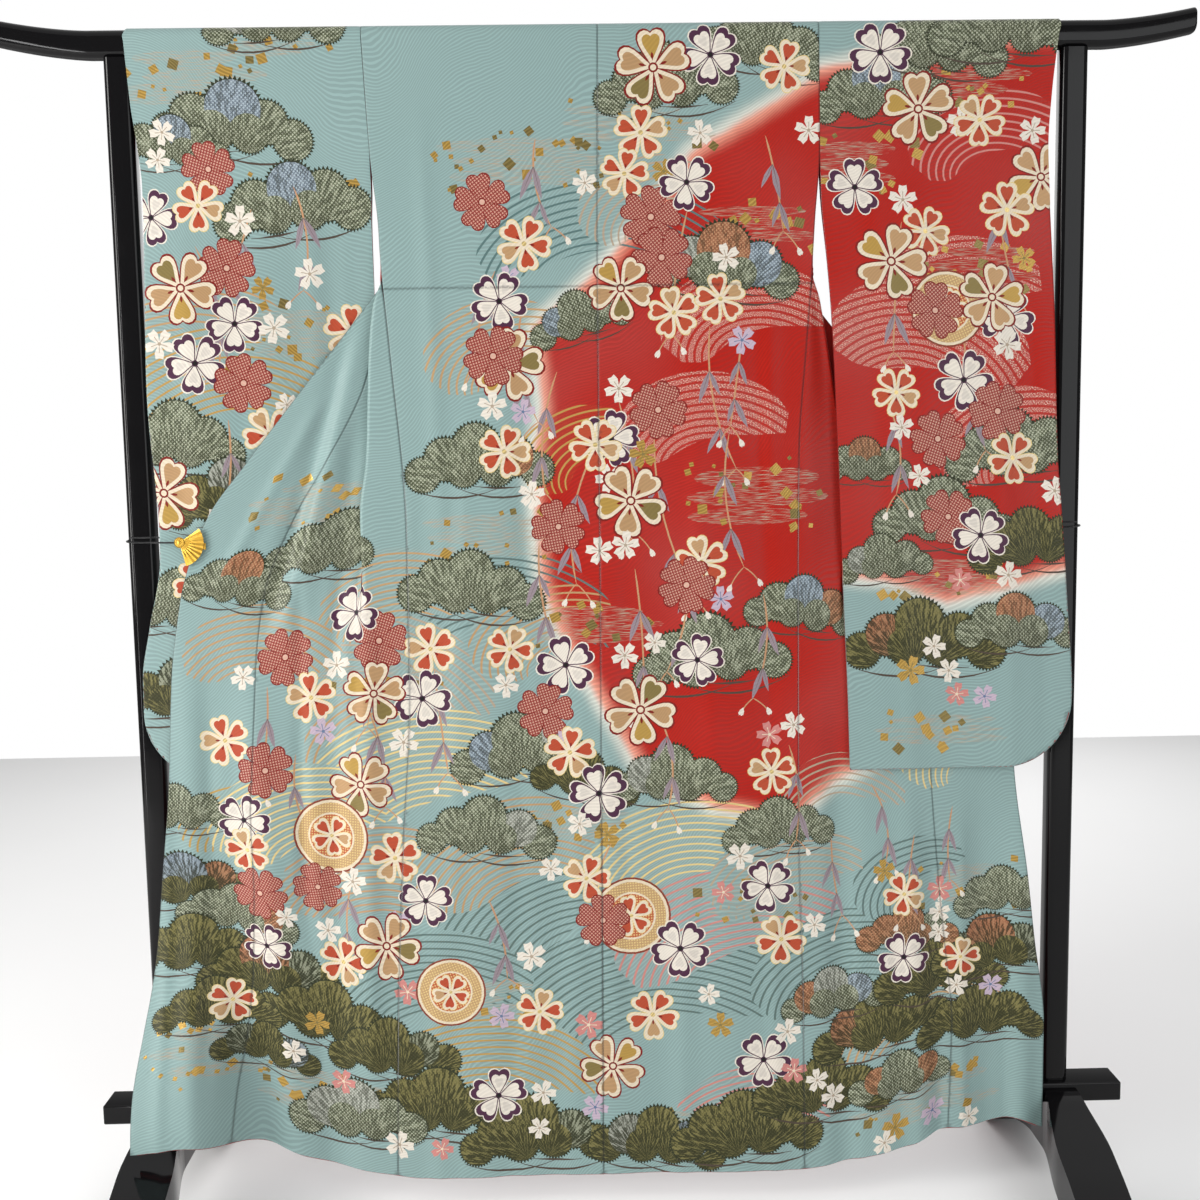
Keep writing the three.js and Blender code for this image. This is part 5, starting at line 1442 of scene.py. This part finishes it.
def ring(rows, left, right, spacing):
    """A piece's outline, anticlockwise, between two edges that are given as arrays along its rows."""
    foot = steps(left[0], right[0], spacing)
    head = steps(left[-1], right[-1], spacing)
    return np.concatenate([
        np.stack([foot, np.full_like(foot, rows[0])], axis=1)[:-1],
        np.stack([right, rows], axis=1)[:-1],
        np.stack([head[::-1], np.full_like(head, rows[-1])], axis=1)[:-1],
        np.stack([left[::-1], rows[::-1]], axis=1)[:-1]])


EDGE_COLUMNS = np.array([1.1, 2.6, 5.0])


def body_grid(rows, left, right, spacing, own_columns=None):
    """Points inside a piece, row by row, staggered and clear of its edges."""
    points = []
    for i, row in enumerate(rows[1:-1], start=1):
        low, high = left[i], right[i]
        columns = own_columns(row) if own_columns else np.arange(-2000, 2000, spacing) + (i % 2) * spacing / 2
        columns = columns[(columns > low + 0.9 * spacing) & (columns < high - 0.9 * spacing)]
        columns = np.concatenate([low + EDGE_COLUMNS, columns, high - EDGE_COLUMNS[::-1]])
        points.append(np.stack([columns, np.full_like(columns, row)], axis=1))
    return np.concatenate(points)


FRONT_DENSITY = 0.75


def front_columns(side, spacing):
    """Columns over an opened front, close together round its deep fold."""
    def columns(row):
        part = front_section(side, np.array([min(row, SPRING)]))
        seam = SIDE_SEAM[side](min(row, SPRING))["q"]
        ends = [float(end[0]) for end in part["ends"]]
        s = np.arange(0, float(part["width"][0]), spacing * FRONT_DENSITY)
        if float(part["row"]["folded"][0]) > 0.02:
            for a, b in ((ends[0] - 3, ends[1] + 3), (ends[2] - 3, ends[3] + 3)):
                s = np.concatenate([s[(s < a) | (s > b)], np.arange(a, b, 1.6)])
        return np.sort(SIGN[side] * (seam + s))
    return columns


def front_in_print(side):
    """An opened front on the body's print: x on from the side seam's own place."""
    def place(x, height):
        z = np.minimum(height, SPRING)
        s = SIGN[side] * x - SIDE_SEAM[side](z)["q"]
        return front_at(side, s, height)
    return place


def body_edges(side, rows):
    """The x of each seam of one side of the body along its rows, from the centre seam outwards."""
    z = np.minimum(rows, SPRING)
    seam = SIDE_SEAM[side](z)["q"]
    part = front_section(side, z)
    half = SEWN_GAP / 2
    return {
        "centre": CENTRE(z)["x"] + SIGN[side] * half,
        "back_side": SIGN[side] * (seam - half),
        "front_side": SIGN[side] * (seam + half),
        "front_end": SIGN[side] * (seam + part["panel"] - half),
        "okumi_start": SIGN[side] * (seam + part["panel"] + half),
        "okumi_end": SIGN[side] * (seam + part["width"]),
        "collar_start": SIGN[side] * (seam + part["width"] - COLLAR_WIDTH),
        "collar_end": SIGN[side] * (seam + part["width"] - 1),
    }


SEAM_DIP = 0.8
SEAM_REACH = 1.1


def near_seam(side, first, last, x, height):
    """1 on a panel's two long edges, fading within a stitch's width."""
    edges = body_edges(side, height)
    away = np.minimum(np.abs(x - edges[first]), np.abs(x - edges[last]))
    return np.exp(-((away / SEAM_REACH) ** 2))


def seamed(place, side, first, last):
    """The same surface, with its two long edges turned in a little at their seams."""
    def turned(x, height):
        spots = place(x, height)
        spots[:, 1] += SEAM_DIP * near_seam(side, first, last, x, height)
        return spots
    return turned


def body_panel(name, side, first, last, rows, place, materials, design, columns=None):
    place = seamed(place, side, first, last)

    def parts(spacing, at):
        edges = body_edges(side, at)
        left, right = sorted((edges[first], edges[last]), key=lambda edge: edge[0])
        own = columns(side, spacing) if columns else None
        return left, right, body_grid(at, left, right, spacing, own)

    left, right, grid = parts(SPACING, rows)
    coarse = rows_between(rows[0], rows[-1], LINING_SPACING)
    _, _, lining_grid = parts(LINING_SPACING, coarse)
    outline = ring(rows, left, right, SPACING)

    # Where the colour darkens: each long seam's stitch line with painted shade, and painted shade under the
    # tuck's lap.
    def sewn(flat):
        x, height = flat.T
        tuck = np.exp(-(((height - TUCK) / SEAM_REACH) ** 2))
        return np.maximum(near_seam(side, first, last, x, height), tuck)

    piece = cloth_shell(name, place, outline, grid, lining_grid, materials, design, body_dye, sewn)
    return piece, outline


def carry(piece, slot, *nodes):
    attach(piece, "root")
    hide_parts(*nodes)


def declare(piece, node, slot, outline):
    """A sheet of cloth hung on the rail, attached in place of its CAD part; the flat area of its cut is
    worked out but not kept.
    """
    carry(piece, slot, node)
    abs(signed_area(outline * MM))


def make_body(materials):
    design = body_print()
    for side in ("left", "right"):
        silk = materials[side]
        slot = "silk_" + side
        rows = rows_between(HEM, SHOULDER - SEAM_GAP / 2, SPACING)
        piece, outline = body_panel("back_cloth_" + side, side, "centre", "back_side", rows,
                                    back_surface(side), silk, design)
        declare(piece, "back_" + side, slot, outline)
        place = front_in_print(side)
        piece, outline = body_panel("front_cloth_" + side, side, "front_side", "front_end", rows,
                                    place, silk, design, front_columns)
        declare(piece, "front_" + side, slot, outline)
        rows = rows_between(HEM, OKUMI_TOP - 4, SPACING)
        piece, outline = body_panel("overlap_cloth_" + side, side, "okumi_start", "okumi_end", rows,
                                    place, silk, design, front_columns)
        declare(piece, "okumi_" + side, slot, outline)


def sleeve_columns(spacing):
    near_cuff = SLEEVE_WIDTH - np.array([3.0, 1.6, 0.7])
    return np.concatenate([np.arange(spacing * 0.7, SLEEVE_WIDTH - 6, spacing), near_cuff])


def sleeve_outline():
    """The sleeve's flat pattern: up its layer in front, over the rail and down its layer behind."""
    across = steps(0, SLEEVE_WIDTH, SPACING)
    corner = SLEEVE_WIDTH - SLEEVE_CORNER * (1 - np.cos(np.linspace(0, 1.45, 14)))
    across = np.unique(np.concatenate([across, corner]))
    bottom = sleeve_bottom(across / SLEEVE_WIDTH)
    top = 2 * SHOULDER
    rows = steps(bottom[-1], top - bottom[-1], SPACING)[1:-1]
    inner_rows = steps(bottom[0], top - bottom[0], SPACING)[1:-1]
    return np.concatenate([
        np.stack([across, bottom], axis=1),
        np.stack([np.full_like(rows, SLEEVE_WIDTH), rows], axis=1),
        np.stack([across[::-1], top - bottom[::-1]], axis=1),
        np.stack([np.zeros_like(inner_rows), inner_rows[::-1]], axis=1)])


def sleeve_grid(spacing):
    top = 2 * SHOULDER
    points = []
    levels = np.concatenate([
        np.arange(SLEEVE_BOTTOM + 1.2, SLEEVE_BOTTOM + 5, 1.2), np.arange(SLEEVE_BOTTOM + 8, SPRING, spacing),
        np.arange(SPRING, SHOULDER, 2.2)])
    for i, level in enumerate(np.concatenate([levels, top - levels])):
        columns = sleeve_columns(spacing) + (i % 2) * 0.3
        height = level if level < SHOULDER else top - level
        above = height > sleeve_bottom(columns / SLEEVE_WIDTH) + 0.7
        columns = columns[above & (columns < SLEEVE_WIDTH - 0.4)]
        points.append(np.stack([columns, np.full_like(columns, level)], axis=1))
    return np.concatenate(points)


def make_sleeves(materials):
    outline = sleeve_outline()
    for side in ("left", "right"):
        piece = cloth_shell("sleeve_cloth_" + side, sleeve_surface(side), outline, sleeve_grid(SPACING),
                            sleeve_grid(LINING_SPACING), materials[side], sleeve_print(side),
                            sleeve_dye(side), flip=side == "left")
        declare(piece, "sleeve_" + side, "silk_" + side, outline)


COLLAR_INSET = 2.3
COLLAR_EDGE = 17


def make_collars(materials):
    for side in ("left", "right"):
        front = front_in_print(side)

        def place(x, height, front=front):
            flat = np.stack([x, height], axis=1)
            return front(x, height) - surface_normals(front, flat, False) * COLLAR_INSET

        rows = steps(COLLAR_END, COLLAR_TOP, SPACING)
        piece, outline = body_panel("collar_cloth_" + side, side, "collar_start", "collar_end", rows, place,
                                    materials[side], None, front_columns)
        declare(piece, "collar_" + side, "silk_" + side, outline)

    def neck(x, height):
        level = 2 * SHOULDER - height
        rail_y, rail_z = over_rail(1, level)
        over = level > SPRING
        return np.stack([x, np.where(over, rail_y, COLLAR_EDGE), np.where(over, rail_z, level)], axis=1)

    low, high = SHOULDER + SEAM_GAP / 2, 2 * SHOULDER - 1663
    rows = np.concatenate([steps(low, 2 * SHOULDER - SPRING, 2), steps(2 * SHOULDER - SPRING + 4, high, 6)])
    half = np.full_like(rows, NECK_HALF - SEAM_GAP)
    outline = ring(rows, -half, half, SPACING)
    grid = body_grid(rows, -half, half, SPACING)
    piece = cloth_shell("collar_cloth_neck", neck, outline, grid, grid, materials["left"], None, body_dye)
    declare(piece, "collar_neck", "silk_left", outline)


HEM_ROLL = {"inset": 2.3, "drop": 3, "rise": 105, "round": 2.6, "short": 9}


def roll_profile():
    """The rolled edge in section: how far behind the cloth's face, and how far above the hem."""
    inset, drop, r = HEM_ROLL["inset"], HEM_ROLL["drop"], HEM_ROLL["round"]
    turned = [(inset + r - r * math.cos(a), r - drop - r * math.sin(a)) for a in np.linspace(0, math.pi, 9)]
    front = [(inset, HEM_ROLL["rise"]), (inset, 40), (inset, 12), (inset - 0.4, 4)]
    back = [(inset + 2 * r, 4), (inset + 3.4, 12), (inset + 2.6, 40), (inset + 2.4, HEM_ROLL["rise"])]
    return front + turned + back


def hem_stations(side, kind):
    """Points of the rolled edge along one back or one opened front: stations, then the profile's points."""
    edges = {key: float(value[0]) for key, value in body_edges(side, np.array([float(HEM)])).items()}
    first, last = ("centre", "back_side") if kind == "back" else ("front_side", "okumi_end")
    outer = edges[last] - SIGN[side] * (0 if kind == "back" else HEM_ROLL["short"])
    x = steps(*sorted((edges[first], outer)), 6)
    place = back_surface(side) if kind == "back" else front_in_print(side)
    around = []
    for inset, rise in roll_profile():
        flat = np.stack([x, np.full_like(x, HEM + max(rise, 0.5))], axis=1)
        spots = place(flat[:, 0], flat[:, 1]) - surface_normals(place, flat, False) * inset
        spots[:, 2] += min(rise - 0.5, 0)
        around.append(spots)
    return np.stack(around, axis=1)


def make_hem_linings(lining):
    """The padded edge of the lining, rolled under the hem of the backs and of each opened front."""
    runs = {
        "back": np.concatenate([hem_stations("left", "back"), hem_stations("right", "back")]),
        "left": hem_stations("left", "front"),
        "right": hem_stations("right", "front"),
    }
    for name, stations in runs.items():
        made = bmesh.new()
        rings = [[made.verts.new(Vector(spot * MM)) for spot in station] for station in stations]
        for a, b in zip(rings, rings[1:]):
            for i, j in zip(range(len(a)), [*range(1, len(a)), 0]):
                made.faces.new((a[i], a[j], b[j], b[i]))
        made.faces.new(rings[0][::-1])
        made.faces.new(rings[-1])
        bmesh.ops.recalc_face_normals(made, faces=made.faces[:])
        piece = finish_mesh(made, "hem_roll_" + name, lining)
        carry(piece, "lining", "hem_lining_" + name)


def finish_mesh(made, name, material, sharp=40):
    """A finished mesh, smooth but for its hard edges."""
    mesh = bpy.data.meshes.new(name)
    made.to_mesh(mesh)
    made.free()
    mesh.materials.append(material)
    mesh.polygons.foreach_set("use_smooth", [True] * len(mesh.polygons))
    mesh.set_sharp_from_angle(angle=math.radians(sharp))
    piece = bpy.data.objects.new(name, mesh)
    bpy.context.scene.collection.objects.link(piece)
    return piece


# ---------------------------------------------------------------- the stand
def long_edges(made, axis):
    """Edges that run along one axis."""
    other = [i for i in range(3) if i != axis]
    return [e for e in made.edges if all(abs(e.verts[0].co[i] - e.verts[1].co[i]) < 1e-6 for i in other)]


def bevelled(made, edges, width, segments):
    bmesh.ops.bevel(made, geom=edges, offset=width * MM, offset_type="OFFSET", segments=segments, profile=0.5,
                    affect="EDGES", material=-1, clamp_overlap=True)


def block(low, high):
    made = bmesh.new()
    bmesh.ops.create_cube(made, size=1.0)
    size = [(b - a) * MM for a, b in zip(low, high)]
    middle = [(a + b) / 2 * MM for a, b in zip(low, high)]
    bmesh.ops.scale(made, vec=size, verts=made.verts[:])
    bmesh.ops.translate(made, vec=middle, verts=made.verts[:])
    return made


def make_rail(lacquer):
    half = RAIL["half_length"]
    made = block((-half, -RAIL["half_depth"], RAIL["bottom"]), (half, RAIL["half_depth"], RAIL["top"]))
    bevelled(made, long_edges(made, 0), RAIL["corner"], 8)
    ends = [e for e in made.edges if abs(e.verts[0].co.x + e.verts[1].co.x) > (2 * half - 1) * MM]
    bevelled(made, ends, RAIL["end_edge"], 3)
    for x in steps(RAIL["bend_from"], half - 4, 6):
        for side in (-1, 1):
            bmesh.ops.bisect_plane(made, geom=made.verts[:] + made.edges[:] + made.faces[:], dist=1e-6,
                                   plane_co=(side * x * MM, 0, 0), plane_no=(side, 0, 0))
    middle = (RAIL["bottom"] + RAIL["top"]) / 2 * MM
    for vert in made.verts:
        along = max(0.0, (abs(vert.co.x) / MM - RAIL["bend_from"]) / (half - RAIL["bend_from"]))
        slim = lerp(1.0, RAIL["tip_scale"], along)
        vert.co.y *= slim
        vert.co.z = middle + (vert.co.z - middle) * slim + RAIL["tip_rise"] * along**1.6 * MM
    carry(finish_mesh(made, "rail_lacquered", lacquer), "lacquer", "rail")


def make_posts(lacquer):
    for side, name in ((-1, "left"), (1, "right")):
        x, half, deep = side * POST["x"], POST["width"] / 2, POST["depth"] / 2
        made = block((x - half, -deep, POST["bottom"]), (x + half, deep, POST["top"]))
        bevelled(made, long_edges(made, 2), POST["corner"], 8)
        carry(finish_mesh(made, "post_lacquered_" + name, lacquer), "lacquer", "post_" + name)


def make_crossbar(lacquer):
    half, deep = CROSSBAR["half_length"], CROSSBAR["half_depth"]
    made = block((-half, -deep, CROSSBAR["bottom"]), (half, deep, CROSSBAR["top"]))
    bevelled(made, made.edges[:], CROSSBAR["edge"], 4)
    carry(finish_mesh(made, "crossbar_lacquered", lacquer), "lacquer", "crossbar")


FOOT_CURVE = table(["y", "bottom", "top"], [
    [278, 0, 8], [272, 0, 24], [258, 0, 43], [240, 0, 59], [220, 0, 73], [204, 0, 83], [190, 16, 91],
    [166, 36, 104], [140, 50, 116], [113, 60, 129], [84, 67, 143], [62, 71, 154], [42, 74, 164],
    [24.8, 75, 168]])
FOOT_STATIONS = [
    278, 276, 272, 266, 258, 249, 240, 230, 220, 212, 204, 197, 190, 178, 166, 153, 140, 126, 113, 98, 84,
    73, 62, 52, 42, 33, 24.8]
FOOT_LAP = 145.7


def make_feet(lacquer):
    """Each arched foot is drawn out station by station from one toe to the other."""
    for side, name in ((-1, "left"), (1, "right")):
        stations = [(y, float(FOOT_CURVE(y)["bottom"]), float(FOOT_CURVE(y)["top"])) for y in FOOT_STATIONS]
        stations.append((24.8, 75, FOOT_LAP))
        stations = [(-y, low, top) for y, low, top in stations] + stations[::-1]
        made = bmesh.new()
        corners = [made.verts.new(Vector((side * FOOT["x"], 0, 0)) * MM) for _ in range(4)]
        face = made.faces.new(corners)
        for i, (y, low, top) in enumerate(stations):
            if i:
                grown = bmesh.ops.extrude_face_region(made, geom=[face])["geom"]
                if i > 1:
                    bmesh.ops.delete(made, geom=[face], context="FACES_ONLY")
                face = next(item for item in grown if isinstance(item, bmesh.types.BMFace))
            half = lerp(FOOT["width_middle"], FOOT["width_toe"], float(smooth((abs(y) - 20) / 110))) / 2
            places = [(-half, low), (half, low), (half, top), (-half, top)]
            for vert, (dx, z) in zip(face.verts, places):
                vert.co = Vector((side * FOOT["x"] + dx, y, z)) * MM
        bmesh.ops.recalc_face_normals(made, faces=made.faces[:])
        made.edges.ensure_lookup_table()
        hard = [e for e in made.edges if len(e.link_faces) == 2 and e.calc_face_angle() > 0.9]
        bevelled(made, hard, FOOT["edge"], 4)
        carry(finish_mesh(made, "foot_lacquered_" + name, lacquer, 50), "lacquer", "foot_" + name)


# ---------------------------------------------------------------- clips and ties
TIE_HEIGHT = 1003
CLIP = {"clear": 0.8, "arm": 2, "plate": 1.6, "gap": 0.3, "radius": 34, "hub": 9, "leaves": 9,
        "from": -1.35, "to": 0.6, "pleat": 0.75, "leaf_wall": 0.7, "rivet": 3.1,
        "pivot_out": 20, "pivot_up": 6}
CORD = {"radius": 1.2, "clear": 0.7, "bowed": 1.02}
CORD_LEAD = {"left": 6.5, "right": 2.5}


def clip_pivot(side):
    """Where the fan turns on its clip: q, y and z."""
    z = np.array([float(TIE_HEIGHT)])
    width = front_section(side, z)["width"]
    x, y, height = front_at(side, width, z)[0]
    before = CLIP["clear"] + CLIP["arm"] + CLIP["gap"] + CLIP["plate"]
    return abs(x) + CLIP["pivot_out"], y - before, height + CLIP["pivot_up"]


def make_fan(side, gilt):
    """The clip's small folding fan: pleated leaves on a hub with a domed rivet."""
    q, y, z = clip_pivot(side)
    sign = SIGN[side]
    made = bmesh.new()
    count = CLIP["leaves"] * 2
    turn = (CLIP["to"] - CLIP["from"]) / count
    reaches = (CLIP["hub"] * 0.6, CLIP["hub"], CLIP["radius"] * 0.72, CLIP["radius"])
    start = [made.verts.new(Vector((reach, 0, 0))) for reach in reaches]
    line = [made.edges.new(pair) for pair in zip(start, start[1:])]
    bmesh.ops.spin(made, geom=start + line, cent=(0, 0, 0), axis=(0, 0, 1), dvec=(0, 0, 0),
                   angle=turn * count, steps=count, use_merge=False, use_duplicate=False)
    for vert in made.verts:
        reach = vert.co.length
        step = round(math.atan2(vert.co.y, vert.co.x) / turn) % 2
        rise = min(1.0, max(0.0, (reach - CLIP["hub"]) / 6))
        vert.co.z = (CLIP["pleat"] if step else -CLIP["pleat"]) * rise
    bmesh.ops.solidify(made, geom=made.faces[:], thickness=CLIP["leaf_wall"])
    hub = Matrix.Translation((0, 0, 0.6))
    bmesh.ops.create_cone(made, cap_ends=True, segments=28, radius1=CLIP["hub"] * 0.86,
                          radius2=CLIP["hub"] * 0.72, depth=1.6, matrix=hub)
    dome = bmesh.ops.create_uvsphere(made, u_segments=20, v_segments=10, radius=CLIP["rivet"])["verts"]
    for vert in dome:
        vert.co.z = vert.co.z * 0.45 + 1.5
    for vert in made.verts:
        c, s = math.cos(CLIP["from"]), math.sin(CLIP["from"])
        across, up = vert.co.x * c - vert.co.y * s, vert.co.x * s + vert.co.y * c
        vert.co = Vector((sign * (q - across), y - vert.co.z, z + up)) * MM
    bmesh.ops.recalc_face_normals(made, faces=made.faces[:])
    carry(finish_mesh(made, "fan_pleated_" + side, gilt, 25), "gold", "clip_fan_" + side)


def cord_route(side):
    """The cord's way from the clip's ring to the post, twice round it, and out at the front."""
    q, y, z = clip_pivot(side)
    out = POST["width"] / 2 + CORD["radius"] + CORD["clear"]
    deep = POST["depth"] / 2 + CORD["radius"] + CORD["clear"]
    inner, outer, middle = POST["x"] - out, POST["x"] + out, POST["x"]
    lead, start, bend = deep + CORD_LEAD[side], y + 0.8, 7
    turns = [(inner - 1, -lead, 0), (inner + bend, -deep, 0), (middle, -deep, 0), (outer - bend, -deep, 0.7),
             (outer, bend - deep, 1.4), (outer, deep - bend, 2.8), (outer - bend, deep, 3.5),
             (inner + bend, deep, 4.9), (inner, deep - bend, 5.6), (inner, bend - deep, 6.65),
             (inner + bend, -deep, 7), (middle, -deep, 7), (outer - bend, -deep, 7)]
    route = [(q + 2.5, start, 0), ((q + inner) / 2, (start - lead) / 2 - 1, 0)] + turns
    return [Vector((SIGN[side] * a, b, z + c)) * MM for a, b, c in route]


def make_cord(side, cord):
    route = cord_route(side)
    data = bpy.data.curves.new("tie_" + side, "CURVE")
    data.dimensions = "3D"
    data.bevel_depth = CORD["radius"] * MM
    data.bevel_resolution = 4
    data.resolution_u = 8
    spline = data.splines.new("BEZIER")
    spline.bezier_points.add(len(route) - 1)
    for point, spot in zip(spline.bezier_points, route):
        point.co = spot
        point.handle_left_type = point.handle_right_type = "AUTO"
    data.use_fill_caps = True
    data.materials.append(cord)
    piece = bpy.data.objects.new("tie_" + side, data)
    bpy.context.scene.collection.objects.link(piece)
    carry(piece, "cord", "tie_cord_" + side)


# ---------------------------------------------------------------- making it
FLOOR_HALF = 3.2


def make_floor():
    made = bmesh.new()
    bmesh.ops.create_grid(made, x_segments=1, y_segments=1, size=FLOOR_HALF)
    floor = finish_mesh(made, "studio_floor", floor_material())


def build():
    make_camera()
    light_the_studio()
    make_floor()
    lining = lining_material()
    materials = {side: [silk_material(side + " printed silk"), lining] for side in ("left", "right")}
    make_body(materials)
    make_sleeves(materials)
    make_collars(materials)
    make_hem_linings(lining)
    lacquer, gilt, cord = lacquer_material(), gilt_material(), cord_material()
    make_rail(lacquer)
    make_posts(lacquer)
    make_crossbar(lacquer)
    make_feet(lacquer)
    for side in ("left", "right"):
        make_fan(side, gilt)
        make_cord(side, cord)
        jaw = bpy.data.objects["clip_jaw_" + side].data
        jaw.materials.clear()
        jaw.materials.append(gilt)


build()
